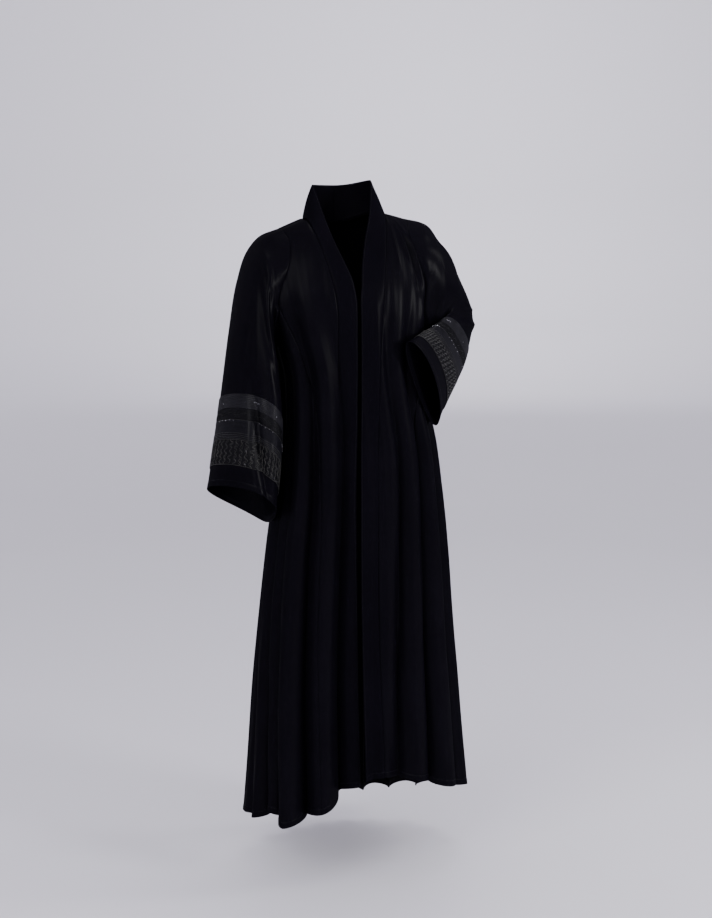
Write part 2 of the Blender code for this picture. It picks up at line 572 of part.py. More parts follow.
def build():
    for old in list(bpy.data.objects):
        bpy.data.objects.remove(old)
    cloth = material("black_crepe", BLACK, 0.62)
    band_cloth = material("black_crepe_band", BLACK, 0.55)
    trims = [material(strip[0], strip[2:5], strip[5]) for strip in STRIPS]
    angle, down = back_grid()
    back = body(angle, down)
    back_normal = mesh_normals(back, 1)
    on_shoulder = np.abs(down[0]) < 1e-6
    back_normal[0, on_shoulder, 1] = 0                  # front and back meet squarely along the shoulder
    for side in (1, -1):
        label = "left" if side > 0 else "right"
        edge = 0 if side > 0 else -1
        centre = angle.shape[1] // 2
        neck = slice(centre, BACK_SHOULDER - 1, -1) if side > 0 else slice(centre, -BACK_SHOULDER)
        front, panel = body(*front_grid(side)), body(*side_grid(side))
        band, nape = band_points(side, back[0, neck])
        loop = np.concatenate((front[:TURN_ROW, -1], panel[0], back[TURN_ROW - 1::-1, edge]))
        sleeve, sleeve_normal = sleeve_points(side, loop)
        front_normal, panel_normal = mesh_normals(front, side), mesh_normals(panel, side)
        band_normal = mesh_normals(band, -side)
        front_normal[0, :, 1] = 0
        under = slice(TURN_ROW, -TURN_ROW)
        share((front_normal, np.s_[TURN_ROW:, -1]), (panel_normal, np.s_[:, 0]))
        share((back_normal, np.s_[TURN_ROW:, edge]), (panel_normal, np.s_[:, -1]))
        share((band_normal, np.s_[1:nape, 0]), (back_normal, (0, np.arange(len(angle[0]))[neck][1:])))
        share((band_normal, np.s_[nape:, 0]), (front_normal, np.s_[1:, 0]))
        share((front_normal, np.s_[:TURN_ROW, -1]), (sleeve_normal, np.s_[0, :TURN_ROW]))
        share((panel_normal, np.s_[0]), (sleeve_normal, np.s_[0, under]))
        share((back_normal, np.s_[:TURN_ROW, edge]), (sleeve_normal, np.s_[0, :-1 - TURN_ROW:-1]))
        share((front_normal, np.s_[0, -1]), (back_normal, np.s_[0, edge]),
              (sleeve_normal, np.s_[0, 0]), (sleeve_normal, np.s_[0, -1]))
        share((front_normal, np.s_[0, 0]), (band_normal, np.s_[nape - 1, 0]))
        back_normal[0, np.arange(len(angle[0]))[neck][-1]] = front_normal[0, 0]
        front_normal[TURN_ROW, -1] = panel_normal[0, 0]
        back_normal[TURN_ROW, edge] = panel_normal[0, -1]
        band_normal[0, :, 0] = 0                        # the bands meet squarely at the middle of the nape
        draw_back(front, front_normal, np.s_[:, 0], np.s_[:, 1])
        draw_back(front, front_normal, np.s_[:, -1], np.s_[:, -2])
        draw_back(panel, panel_normal, np.s_[0], np.s_[1])
        draw_back(panel, panel_normal, np.s_[:, 0], np.s_[:, 1])
        draw_back(panel, panel_normal, np.s_[:, -1], np.s_[:, -2])
        draw_back(band, band_normal, np.s_[:, 0], np.s_[:, 1])
        band[1:nape, 0, 2] += 2 * SEAM                  # the collar turns sharply here, so it stands clear
        draw_back(sleeve, sleeve_normal, np.s_[0], np.s_[1])
        draw_back(back, back_normal, np.s_[:, edge], np.s_[:, 1 if side > 0 else -2])
        front[0, :, 1] -= SEAM / 2
        sleeve[:, -1], sleeve_normal[:, -1] = sleeve[:, 0], sleeve_normal[:, 0]
        wall("front_panel_" + label, front, front_normal, False, cloth)
        wall("side_panel_" + label, panel, panel_normal, False, cloth)
        wall("band_" + label, band, band_normal, False, band_cloth)
        wall("sleeve_" + label, sleeve, sleeve_normal, True, cloth)
        strips(side, sleeve, sleeve_normal, trims)
    nape = np.arange(BACK_SHOULDER, angle.shape[1] - BACK_SHOULDER)
    draw_back(back, back_normal, (0, nape), (1, nape))
    back[0, on_shoulder, 1] += SEAM / 2
    wall("back_panel", back, back_normal, False, cloth)


build()
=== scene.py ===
"""The looks of an open-front black crepe abaya in the form it has when worn: fine cloth over each piece of
the frame, trimmed sleeves, embroidery, stones and sewing, on a pale floor.
Metres, +Z up, the wearer faces -Y and the wearer's left is +X.
"""

import bmesh
import bpy
import numpy as np
from mathutils import Matrix, Vector


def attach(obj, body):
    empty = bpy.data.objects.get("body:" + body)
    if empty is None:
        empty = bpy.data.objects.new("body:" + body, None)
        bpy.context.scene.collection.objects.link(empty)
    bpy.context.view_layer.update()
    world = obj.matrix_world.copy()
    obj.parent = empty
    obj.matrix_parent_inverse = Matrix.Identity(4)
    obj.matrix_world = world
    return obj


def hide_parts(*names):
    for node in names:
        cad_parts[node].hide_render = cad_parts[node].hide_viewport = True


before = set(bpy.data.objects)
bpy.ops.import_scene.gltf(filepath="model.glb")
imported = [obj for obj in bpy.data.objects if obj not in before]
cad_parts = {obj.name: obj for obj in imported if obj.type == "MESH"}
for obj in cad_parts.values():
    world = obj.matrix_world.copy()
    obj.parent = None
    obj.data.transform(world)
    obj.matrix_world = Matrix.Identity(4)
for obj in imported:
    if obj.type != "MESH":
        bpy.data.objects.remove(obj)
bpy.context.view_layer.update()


# ---- Back panel --------------------------------------------------------------------------------------------
# The back is one wide flared piece of matt black crepe. It hangs from the shoulder seams and falls from the
# shoulder blades in deep upright folds, over a narrow hem that is turned up twice and stitched.

CLOTH = 0.0011          # thickness of the crepe
SQUARENESS = 2.4        # 2 is an ellipse, more is squarer
NECK_HALF = 0.092       # half the distance between the neck points
SHOULDER_FALL = 0.333   # drop of the shoulder seam for each metre outwards
SHOULDER_TILT = 0.068   # the left shoulder is carried higher, with the arm
ARMHOLE_TURN = -0.190   # heights where the armhole meets the side panel, and ends under the arm
UNDERARM = -0.285
NAPE_DOWN = 0.066       # how far down the back the neck seam dips, along the cloth
HEM_LEVEL = -1.360      # the level from which the uneven hem is measured
HEM_LINE_FROM = -0.85   # the uneven line of the hem is let in from here down
SLOPE_FADE = 0.24       # the slope of the shoulders has levelled out this far below them

SECTION = ("height", "half_width", "front", "back", "centre_x", "centre_y")
SECTIONS = (
    (0.009, 0.205, 0.000, 0.000, 0.000, 0.000),
    (0.004, 0.205, 0.040, 0.042, 0.000, 0.000),
    (-0.012, 0.204, 0.066, 0.070, 0.000, 0.000),
    (-0.045, 0.203, 0.094, 0.090, 0.000, 0.000),
    (-0.095, 0.201, 0.121, 0.104, 0.000, -0.001),
    (-0.150, 0.198, 0.139, 0.114, 0.001, -0.003),
    (-0.205, 0.190, 0.147, 0.121, 0.003, -0.004),
    (-0.270, 0.176, 0.149, 0.126, 0.007, -0.005),
    (-0.340, 0.166, 0.149, 0.131, 0.015, -0.005),
    (-0.420, 0.172, 0.148, 0.136, 0.024, -0.005),
    (-0.500, 0.184, 0.148, 0.142, 0.032, -0.005),
    (-0.620, 0.197, 0.149, 0.149, 0.036, -0.005),
    (-0.760, 0.213, 0.151, 0.157, 0.034, -0.005),
    (-1.015, 0.237, 0.163, 0.176, 0.030, -0.005),
    (-1.360, 0.265, 0.192, 0.206, 0.030, -0.005),
)

# Upright folds, a row for each crest, by its angle round the body: 0 is the front, 90 the wearer's left.
# Rise is how far the crest stands off the ring at the hem, dip how deep the valley after it is.
FOLD = ("chest_angle", "waist_angle", "hem_angle", "hem_rise", "chest_dip", "waist_dip", "hem_dip")
FOLDS = (
    (-9.0, -8.9, -7.2, -0.012, 0.002, 0.003, 0.006),
    (9.0, 10.6, 3.0, -0.004, 0.006, 0.019, 0.030),
    (28.0, 27.7, 22.0, 0.004, 0.007, 0.019, 0.042),
    (45.0, 46.0, 43.0, 0.008, 0.005, 0.018, 0.044),
    (66.0, 65.0, 66.0, 0.006, 0.002, 0.016, 0.042),
    (90.0, 89.0, 92.0, 0.004, 0.002, 0.016, 0.042),
    (115.0, 114.0, 117.0, 0.002, 0.002, 0.016, 0.044),
    (138.0, 136.0, 139.0, 0.004, 0.003, 0.013, 0.046),
    (156.0, 155.0, 156.0, 0.000, 0.004, 0.014, 0.044),
    (172.0, 171.0, 171.0, 0.006, 0.003, 0.011, 0.040),
    (187.0, 186.0, 185.5, 0.002, 0.004, 0.014, 0.046),
    (203.0, 202.0, 200.0, 0.005, 0.004, 0.013, 0.042),
    (222.0, 221.0, 218.0, 0.000, 0.002, 0.013, 0.044),
    (244.0, 244.0, 246.0, 0.006, 0.002, 0.012, 0.044),
    (268.0, 269.0, 283.0, 0.002, 0.002, 0.008, 0.030),
    (286.0, 287.0, 300.0, -0.004, 0.003, 0.010, 0.026),
    (303.0, 304.0, 313.5, 0.028, 0.010, 0.024, 0.052),
    (322.0, 325.5, 331.0, 0.006, 0.007, 0.022, 0.044),
    (349.0, 349.5, 351.0, -0.034, 0.000, 0.000, 0.000),
)
FOLD_HEIGHTS = (-0.200, -0.530, -1.360)
FOLD_START = -0.060
FOLD_GROWTH = 0.20      # they grow in over this height
UPPER_SHARE = 0.25      # of a crest's rise, reached above the waist
BULGE, BULGE_LIMIT = 0.26, 0.125   # how far a crest widens: shares of its valleys' depth, and of its width

# The uneven hem, a row for each angle: how high it hangs.
HEM = ("angle", "height")
HEMS = ((-10.0, -1.284), (3.0, -1.270), (22.0, -1.288), (43.0, -1.322), (66.0, -1.346), (92.0, -1.375),
        (117.0, -1.402), (139.0, -1.420), (171.0, -1.434), (200.0, -1.434), (218.0, -1.430), (246.0, -1.416),
        (283.0, -1.388), (300.0, -1.358), (313.5, -1.376), (331.0, -1.346), (345.0, -1.306), (352.0, -1.296))

ARMHOLE = ("height", "front_x", "back_x")
ARMHOLES = ((0.009, 0.148, 0.148), (-0.020, 0.140, 0.142), (-0.050, 0.143, 0.147), (-0.080, 0.150, 0.153),
            (-0.130, 0.167, 0.160), (-0.190, 0.170, 0.166))
SIDE_SEAM = ("height", "front_angle", "back_angle")
SIDE_SEAMS = ((-0.190, 56.5, 124.0), (-0.285, 51.0, 125.5), (-0.342, 49.5, 125.5), (-0.385, 45.5, 125.3),
              (-0.420, 42.0, 125.2), (-0.600, 36.0, 125.1), (-0.930, 32.5, 126.2), (-1.160, 30.5, 127.2),
              (-1.360, 29.0, 128.0))

# Drag folds, a row for each: the start, middle and end of its line, its width, and its rise, which is
# negative for a trough.
DRAGS = (
    ((0.103, -0.041, 0.003), (0.137, -0.079, -0.055), (0.166, -0.100, -0.165), 0.009, 0.007),
    ((0.096, -0.040, 0.005), (0.118, -0.083, -0.048), (0.142, -0.107, -0.130), 0.008, 0.006),
    ((0.112, -0.062, -0.020), (0.138, -0.092, -0.082), (0.152, -0.112, -0.165), 0.008, -0.006),
    ((0.174, -0.094, -0.120), (0.163, -0.110, -0.190), (0.150, -0.116, -0.250), 0.011, 0.007),
    ((0.225, -0.040, -0.050), (0.250, -0.045, -0.120), (0.262, -0.050, -0.190), 0.012, 0.006),
    ((0.335, 0.070, -0.230), (0.290, -0.010, -0.225), (0.245, -0.060, -0.215), 0.011, -0.007),
    ((0.345, 0.050, -0.262), (0.300, -0.025, -0.245), (0.255, -0.060, -0.236), 0.009, 0.006),
    ((-0.203, -0.070, -0.080), (-0.192, -0.104, -0.165), (-0.186, -0.118, -0.280), 0.010, -0.007),
    ((-0.214, -0.080, -0.120), (-0.211, -0.110, -0.235), (-0.183, -0.126, -0.370), 0.010, -0.008),
    ((-0.240, -0.100, -0.350), (-0.230, -0.129, -0.490), (-0.200, -0.142, -0.650), 0.013, -0.013),
)

# Small sharp creases among them, laid out in the same way.
CREASES = (
    ((0.101, -0.036, 0.004), (0.137, -0.080, -0.056), (0.168, -0.100, -0.170), 0.0042, 0.0042),
    ((0.095, -0.036, 0.006), (0.119, -0.084, -0.050), (0.144, -0.108, -0.134), 0.0038, 0.0038),
    ((0.091, -0.040, 0.004), (0.095, -0.080, -0.032), (0.102, -0.118, -0.112), 0.0038, 0.0030),
    ((0.108, -0.052, -0.010), (0.128, -0.088, -0.066), (0.150, -0.106, -0.150), 0.0045, -0.0030),
    ((0.124, -0.034, -0.010), (0.150, -0.066, -0.050), (0.168, -0.080, -0.098), 0.0050, 0.0024),
    ((-0.232, -0.104, -0.400), (-0.230, -0.116, -0.490), (-0.212, -0.136, -0.625), 0.0075, -0.0085),
    ((-0.243, -0.098, -0.400), (-0.243, -0.108, -0.490), (-0.230, -0.128, -0.620), 0.0055, 0.0030),
    ((0.150, -0.105, -0.150), (0.158, -0.118, -0.210), (0.152, -0.124, -0.270), 0.0055, 0.0026),
    ((0.200, -0.050, -0.060), (0.214, -0.072, -0.110), (0.222, -0.080, -0.165), 0.0050, 0.0022),
    ((0.212, -0.028, -0.050), (0.240, -0.040, -0.090), (0.262, -0.040, -0.145), 0.0050, 0.0022),
    ((0.260, -0.035, -0.150), (0.285, -0.030, -0.190), (0.305, -0.010, -0.215), 0.0055, 0.0026),
    ((0.335, 0.030, -0.215), (0.305, -0.020, -0.214), (0.275, -0.050, -0.208), 0.0050, 0.0028),
    ((0.340, 0.020, -0.285), (0.295, -0.040, -0.262), (0.250, -0.062, -0.258), 0.0055, 0.0022),
    ((0.345, 0.060, -0.245), (0.325, 0.010, -0.250), (0.300, -0.030, -0.236), 0.0045, 0.0024),
    ((0.225, -0.060, -0.160), (0.214, -0.078, -0.215), (0.205, -0.082, -0.262), 0.0055, -0.0026),
    ((-0.198, -0.062, -0.060), (-0.198, -0.098, -0.120), (-0.200, -0.100, -0.200), 0.0040, 0.0020),
    ((-0.186, -0.070, -0.075), (-0.182, -0.110, -0.150), (-0.186, -0.110, -0.230), 0.0045, -0.0020),
    ((-0.214, -0.080, -0.200), (-0.228, -0.104, -0.290), (-0.238, -0.108, -0.380), 0.0060, 0.0022),
    ((-0.225, -0.080, -0.150), (-0.244, -0.074, -0.240), (-0.254, -0.070, -0.330), 0.0070, -0.0022),
    ((-0.232, -0.098, -0.420), (-0.245, -0.104, -0.500), (-0.252, -0.108, -0.560), 0.0070, 0.0024),
    ((0.060, 0.104, -0.090), (0.105, 0.112, -0.150), (0.155, 0.094, -0.200), 0.0070, -0.0026),
    ((0.080, 0.080, -0.060), (0.112, 0.098, -0.110), (0.150, 0.090, -0.150), 0.0060, 0.0026),
    ((-0.060, 0.104, -0.110), (-0.105, 0.112, -0.170), (-0.150, 0.094, -0.225), 0.0070, -0.0024),
    ((-0.078, 0.080, -0.070), (-0.110, 0.098, -0.125), (-0.148, 0.090, -0.170), 0.0060, 0.0024),
    ((-0.040, 0.096, -0.085), (0.000, 0.104, -0.098), (0.045, 0.096, -0.086), 0.0080, 0.0018),
    ((-0.060, 0.124, -0.300), (-0.010, 0.126, -0.312), (0.050, 0.124, -0.300), 0.0080, -0.0020),
    ((0.252, 0.075, -0.180), (0.275, 0.090, -0.230), (0.292, 0.095, -0.285), 0.0070, 0.0026),
    ((0.330, 0.110, -0.230), (0.300, 0.098, -0.290), (0.262, 0.080, -0.345), 0.0065, -0.0026),
    ((-0.214, 0.070, -0.170), (-0.226, 0.080, -0.270), (-0.232, 0.085, -0.380), 0.0080, 0.0024),
)
CREASE_SPREAD = 0.3   # how far off the surface a crease's line still counts


def unit(vectors):
    return vectors / np.maximum(np.linalg.norm(vectors, axis=-1, keepdims=True), 1e-12)


def column(rows, names, name):
    return np.array([row[names.index(name)] for row in rows], dtype=float)


def curved(part, span, first, second, leaving, arriving):
    """The smooth curve from first to second, which leaves and arrives with the given slopes."""
    return ((2 * part ** 3 - 3 * part ** 2 + 1) * first + (part ** 3 - 2 * part ** 2 + part) * span * leaving
            + (3 * part ** 2 - 2 * part ** 3) * second + (part ** 3 - part ** 2) * span * arriving)


def smooth(knots, values, at):
    """Smooth curve through the values of a table; the last axis of values may hold several."""
    knots, values, at = np.asarray(knots, float), np.asarray(values, float), np.asarray(at, float)
    slopes = np.gradient(values, knots, axis=0)
    at = np.clip(at, knots[0], knots[-1])
    index = np.clip(np.searchsorted(knots, at, side="right") - 1, 0, len(knots) - 2)
    span = knots[index + 1] - knots[index]
    part = (at - knots[index]) / span
    if values.ndim > 1:
        part, span = part[..., None], span[..., None]
    return curved(part, span, values[index], values[index + 1], slopes[index], slopes[index + 1])


def eased(value):
    value = np.clip(value, 0, 1)
    return value * value * (3 - 2 * value)


HEIGHTS = column(SECTIONS, SECTION, "height")
FRONTS = column(SECTIONS, SECTION, "front")
DOWN = np.concatenate(([0], np.cumsum(np.hypot(np.diff(HEIGHTS), np.diff(FRONTS)))))


def down_at(height):
    """Distance down the cloth at which the body's rings reach a height."""
    fine = np.linspace(0, DOWN[-1], 2000)
    return np.interp(-np.asarray(height, float), -smooth(DOWN, HEIGHTS, fine), fine)


def section(down):
    return [smooth(DOWN, column(SECTIONS, SECTION, name), down) for name in SECTION]


def angle_at(x, down):
    """Angle at which the front of a ring passes over x."""
    _, half, _, _, centre, _ = section(down)
    across = np.clip((x - centre) / half, -0.999, 0.999)
    along = (1 - np.abs(across) ** SQUARENESS) ** (1 / SQUARENESS)
    return np.degrees(np.arctan2(across, along))


def ring(angle, down):
    """The body without folds."""
    height, half, front, back, centre_x, centre_y = section(down)
    turn = np.radians(angle)
    size = (np.abs(np.sin(turn)) ** SQUARENESS + np.abs(np.cos(turn)) ** SQUARENESS) ** (-1 / SQUARENESS)
    x = centre_x + half * np.sin(turn) * size
    y = centre_y - np.where(np.cos(turn) > 0, front, back) * np.cos(turn) * size
    slope = eased(1 - (HEIGHTS[0] - height) / SLOPE_FADE)
    z = height + slope * (SHOULDER_TILT * x - SHOULDER_FALL * np.maximum(np.abs(x) - NECK_HALF, 0))
    return np.stack((x, y, z), axis=-1)


def fold_value(names, down):
    """A fold's column, from its values at the chest, waist and hem."""
    height = smooth(DOWN, HEIGHTS, down)
    values = np.stack([column(FOLDS, FOLD, name) for name in names])
    return smooth([-h for h in FOLD_HEIGHTS], values, -height)


def drape(point, normal, lines, off_surface=1.0):
    """Pushes points along their normals where a fold or crease passes. Off the surface, a line's distance
    counts by the share given, so that a straight line still marks a curved surface."""
    push = np.zeros(point.shape[:-1])
    for start, middle, end, width, rise in lines:
        nearest, place = np.full(point.shape[:-1], 9.0), np.zeros(point.shape[:-1])
        for number, (a, b) in enumerate(((start, middle), (middle, end))):
            a, b = np.array(a), np.array(b)
            part = np.clip(((point - a) @ (b - a)) / ((b - a) @ (b - a)), 0, 1)
            offset = point - a - part[..., None] * (b - a)
            height = (offset * normal).sum(-1)
            away = np.sqrt(np.maximum((offset ** 2).sum(-1) - (1 - off_surface ** 2) * height ** 2, 0))
            place = np.where(away < nearest, (number + part) / 2, place)
            nearest = np.minimum(nearest, away)
        fading = np.sin(np.pi * np.clip(place, 0.04, 0.96)) ** 0.7      # out towards both ends of the line
        push += rise * np.exp(-(nearest / width) ** 2) * fading
    return point + normal * push[..., None]


UPRIGHT_RIPPLE, HEM_RIPPLE, BROAD_RIPPLE = 0.00030, 0.00085, 0.0009


def ripples(angle, down):
    """Small upright ridges and hollows between the large folds, which grow towards the hem."""
    turn, low = np.radians(angle), eased((down - 0.15) / 0.9)
    upright = (0.9 * np.sin(23 * turn + 1.7 * np.sin(4.1 * down) + 0.6)
               + 0.7 * np.sin(37 * turn - 5.3 * down + 2.0)
               + 0.6 * np.sin(58 * turn + 2.9 * np.sin(3.3 * down + 1.0))
               + 0.35 * np.sin(83 * turn - 3.1 * down))
    broad = np.sin(7 * turn + 9 * down) * np.sin(11 * down - 3 * turn + 0.8)
    return ((UPRIGHT_RIPPLE + HEM_RIPPLE * low) * upright + BROAD_RIPPLE * broad) * eased(down / 0.20)


def body(angle, down):
    """The body with its upright folds and drag folds."""
    angle, down = np.broadcast_arrays(np.asarray(angle, float), np.asarray(down, float))
    base = ring(angle, down)
    tangent = ring(angle + 0.5, down) - ring(angle - 0.5, down)
    tangent[..., 2] = 0
    degree = np.linalg.norm(tangent, axis=-1)
    tangent /= np.maximum(degree, 1e-9)[..., None]
    outward = np.stack((tangent[..., 1], -tangent[..., 0], np.zeros_like(angle)), axis=-1)
    height = base[..., 2]
    crests = fold_value(("chest_angle", "waist_angle", "hem_angle"), down)
    grown = eased((FOLD_START - height) / FOLD_GROWTH)
    hem_share = np.clip((FOLD_HEIGHTS[1] - height) / (FOLD_HEIGHTS[1] - FOLD_HEIGHTS[2]), 0, 1)
    dips = fold_value(("chest_dip", "waist_dip", "hem_dip"), down) * grown[..., None]
    rises = column(FOLDS, FOLD, "hem_rise") * (UPPER_SHARE * grown + (1 - UPPER_SHARE) * hem_share)[..., None]
    phase, rise = np.zeros_like(angle), rises[..., 0].copy()
    dip, width = np.zeros_like(angle), np.ones_like(angle)
    for number in range(len(FOLDS) - 1):
        start, stop = crests[..., number], crests[..., number + 1]
        part = np.clip((angle - start) / (stop - start), 0, 1)
        phase = phase + part
        rise = rise + (rises[..., number + 1] - rises[..., number]) * eased(part)
        within = (angle >= start) & (angle < stop)
        dip = np.where(within, dips[..., number], dip)
        width = np.where(within, (stop - start) * degree, width)
    reach = rise - dip * np.sin(np.pi * phase) ** 2
    widened = np.minimum(BULGE * dip, BULGE_LIMIT * width) * np.sin(2 * np.pi * phase)
    point = base + outward * reach[..., None] + tangent * widened[..., None]
    hem = np.interp(angle, column(HEMS, HEM, "angle"), column(HEMS, HEM, "height"))
    point[..., 2] += (hem - HEM_LEVEL) * eased((HEM_LINE_FROM - height) / (HEM_LINE_FROM - HEM_LEVEL))
    point = drape(point + outward * ripples(angle, down)[..., None], outward, DRAGS)
    fall = ring(angle, down + 0.003) - ring(angle, down - 0.003)
    facing = unit(np.cross(fall, tangent))
    facing *= np.where((facing * outward).sum(-1) < 0, -1, 1)[..., None]
    return drape(point, facing, CREASES, CREASE_SPREAD)


def mesh_normals(points, sign, closed=False):
    """Normals at the points of a mesh of rows and columns, halfway between the faces round each point."""
    steps = [unit(np.diff(points, axis=axis)) for axis in (0, 1)]
    first, second = steps[0][:1], steps[0][-1:]
    along = np.concatenate((first, steps[0][:-1] + steps[0][1:], second))
    if closed:
        first = second = steps[1][:, -1:] + steps[1][:, :1]
    else:
        first, second = steps[1][:, :1], steps[1][:, -1:]
    across = np.concatenate((first, steps[1][:, :-1] + steps[1][:, 1:], second), axis=1)
    return sign * unit(np.cross(along, across))


def armhole_seam(side, face, down):
    """Angle of the armhole, at the front or the back of one side."""
    height = smooth(DOWN, HEIGHTS, down)
    x = smooth(-column(ARMHOLES, ARMHOLE, "height"), column(ARMHOLES, ARMHOLE, face + "_x"), -height)
    angle = angle_at(side * x, down)
    return angle if face == "front" else side * 180 - angle


def side_seam(side, face, down):
    height = smooth(DOWN, HEIGHTS, down)
    angles = column(SIDE_SEAMS, SIDE_SEAM, face + "_angle")
    return side * smooth(-column(SIDE_SEAMS, SIDE_SEAM, "height"), angles, -height)


def outer_seam(side, face, down):
    """Where the front or back panel ends: the armhole above, the side panel's seam below."""
    above = smooth(DOWN, HEIGHTS, down) > ARMHOLE_TURN + 1e-6
    return np.where(above, armhole_seam(side, face, down), side_seam(side, face, down))


def wrap(side, angle):
    """Angles as the tables count them, from the left front edge right round to the right one."""
    return angle + (360 if side < 0 else 0)


def across(points):
    """Each point's distance along the cloth from the first point of its row."""
    steps = np.linalg.norm(np.diff(points, axis=1), axis=-1)
    return np.concatenate((np.zeros((len(points), 1)), np.cumsum(steps, axis=1)), axis=1)


def along(points):
    return across(points.swapaxes(0, 1)).swapaxes(0, 1)


SEAM_DEPTH, SEAM_WIDTH = 0.0010, 0.0034
BODY_AXIS = 0.02         # the body's upright axis, by its x
CHEST_LEVEL = -0.15      # seams above it are drawn down towards it


def sewn(points, *seams):
    """Draws the cloth in along its seams, towards the body's axis so that both sides of a seam stay together:
    first and last are its side edges, top its upper one."""
    widths, target = across(points), points * (0, 0, 1) + (BODY_AXIS, 0, 0)
    target[..., 2] = np.minimum(target[..., 2], CHEST_LEVEL)
    away = {"first": widths, "last": widths[:, -1:] - widths, "top": along(points)}
    nearest = np.minimum.reduce([away[seam] for seam in seams])
    return points + unit(target - points) * (SEAM_DEPTH * np.exp(-(nearest / SEAM_WIDTH) ** 2))[..., None]


HEM_STEPS = (0.0165, 0.0150, 0.0140, 0.0130, 0.0110, 0.0070, 0.0030, 0.0)   # mesh rows over the hem
HEM_TURN, HEM_STITCH_ROW = 0.0140, -6    # where it is stitched
HEM_BULK, STITCH_GROOVE = 0.0006, 0.0005


def hemmed(points, normal):
    """Gives the lowest rows the bulk of a hem that is turned up twice, and the groove of its stitching."""
    lengths = along(points)
    from_hem = lengths[-1:] - lengths
    bulk = HEM_BULK * eased((HEM_TURN + 0.001 - from_hem) / 0.0015)
    groove = STITCH_GROOVE * np.exp(-((from_hem - HEM_TURN) / 0.0012) ** 2)
    return points + normal * (bulk - groove)[..., None]


CREASED_TO = -0.42       # mesh rows are close together down to here
ROW_PITCH, PLAIN_ROWS, HEM_ROWS_FROM = 0.0044, 104, 0.021


def rows_from(start):
    """Distances down of a panel's mesh rows: closer where the creases are small, and over the hem."""
    coarse = down_at(CREASED_TO)
    fine = np.linspace(start, coarse, int((coarse - start) / ROW_PITCH) + 1)
    plain = np.linspace(coarse, DOWN[-1] - HEM_ROWS_FROM, PLAIN_ROWS)
    return np.concatenate((fine, plain[1:], DOWN[-1] - np.array(HEM_STEPS)))


class Shade:
    """A value in a material, so that sums on it add its Math nodes."""

    def __init__(self, tree, socket=None):
        self.tree, self.socket = tree, socket

    def node(self, kind, inputs, output=0, **settings):
        """Any other node: its settings first, then the values or links of its sockets."""
        made = self.tree.nodes.new("ShaderNode" + kind)
        for name, value in settings.items():
            setattr(made, name, value)
        for name, value in inputs.items():
            socket = made.inputs[name]
            if isinstance(value, Shade):
                self.tree.links.new(value.socket, socket)
            elif socket.type == "RGBA":
                socket.default_value = (*value, 1)
            else:
                socket.default_value = value
        return Shade(self.tree, made.outputs[output])

    def maths(self, operation, *values):
        return self.node("Math", dict(enumerate(values)), operation=operation)

    def __add__(self, other):
        return self.maths("ADD", self, other)

    def __sub__(self, other):
        return self.maths("SUBTRACT", self, other)

    def __rsub__(self, other):
        return self.maths("SUBTRACT", other, self)

    def __mul__(self, other):
        return self.maths("MULTIPLY", self, other)

    def between(self, low, high):
        """0 below low, 1 above high."""
        return self.node("MapRange", {"Value": self, "From Min": low, "From Max": high})

    def mix(self, first, second):
        """The first colour where this value is 0, the second where it is 1."""
        return self.node("Mix", {0: self, 6: first, 7: second}, 2, data_type="RGBA")

    __radd__, __rmul__ = __add__, __mul__


def finish(name, paint, **constants):
    """A material: paint gives colour, roughness and height from object coordinates and the cloth's own UV."""
    made = bpy.data.materials.new(name)
    made.use_nodes = True
    tree = made.node_tree
    shader = tree.nodes["Principled BSDF"]
    start = Shade(tree)
    colour, rough, height, depth = paint(start, start.node("TexCoord", {}, "Object"),
                                         start.node("UVMap", {}, uv_map="cloth"))
    bump = start.node("Bump", {"Height": height, "Distance": depth, "Strength": 1.0})
    for value, socket in ((colour, "Base Color"), (rough, "Roughness"), (bump, "Normal")):
        tree.links.new(value.socket, shader.inputs[socket])
    for name, value in constants.items():
        shader.inputs[name.replace("_", " ")].default_value = value
    return made


INK = (0.0014, 0.0012, 0.0021)        # the dye between the grains
INK_WORN = (0.0031, 0.0027, 0.0046)   # and on their tips


def crepe(start, place, flat):
    """The pebbled grain of crepe, under a millimetre across, with a slow change of tone over the cloth."""
    grain = start.node("TexNoise", {"Vector": place, "Scale": 900.0, "Detail": 3.0, "Roughness": 0.6})
    broad = start.node("TexNoise", {"Vector": place, "Scale": 8.0, "Detail": 2.0}).between(0.3, 0.75)
    twist = start.node("TexWave", {"Vector": flat, "Scale": 260.0, "Distortion": 6.0, "Detail": 2.0,
                                   "Detail Scale": 2.0}, 1, wave_type="BANDS", bands_direction="Y")
    tips = grain.between(0.35, 0.70)
    colour = (tips * 0.65 + broad * 0.35).mix(INK, INK_WORN)
    rough = 0.60 + tips * 0.06 + broad * 0.05
    return colour, rough, grain + twist * 0.35, 0.00020


CREPE = finish("black_crepe_cloth", crepe, Specular_IOR_Level=0.0, Coat_Weight=0.034, Coat_Roughness=0.30)


def linked(name, data):
    """An object of the scene, at the origin."""
    made = bpy.data.objects.new(name, data)
    bpy.context.scene.collection.objects.link(made)
    return made


def made_of(mesh, name, material, smoothed=True):
    """The mesh's object, in its material."""
    data = bpy.data.meshes.new(name)
    mesh.to_mesh(data)
    mesh.free()
    if smoothed:
        data.shade_smooth()
    data.materials.append(material)
    return linked(name, data)


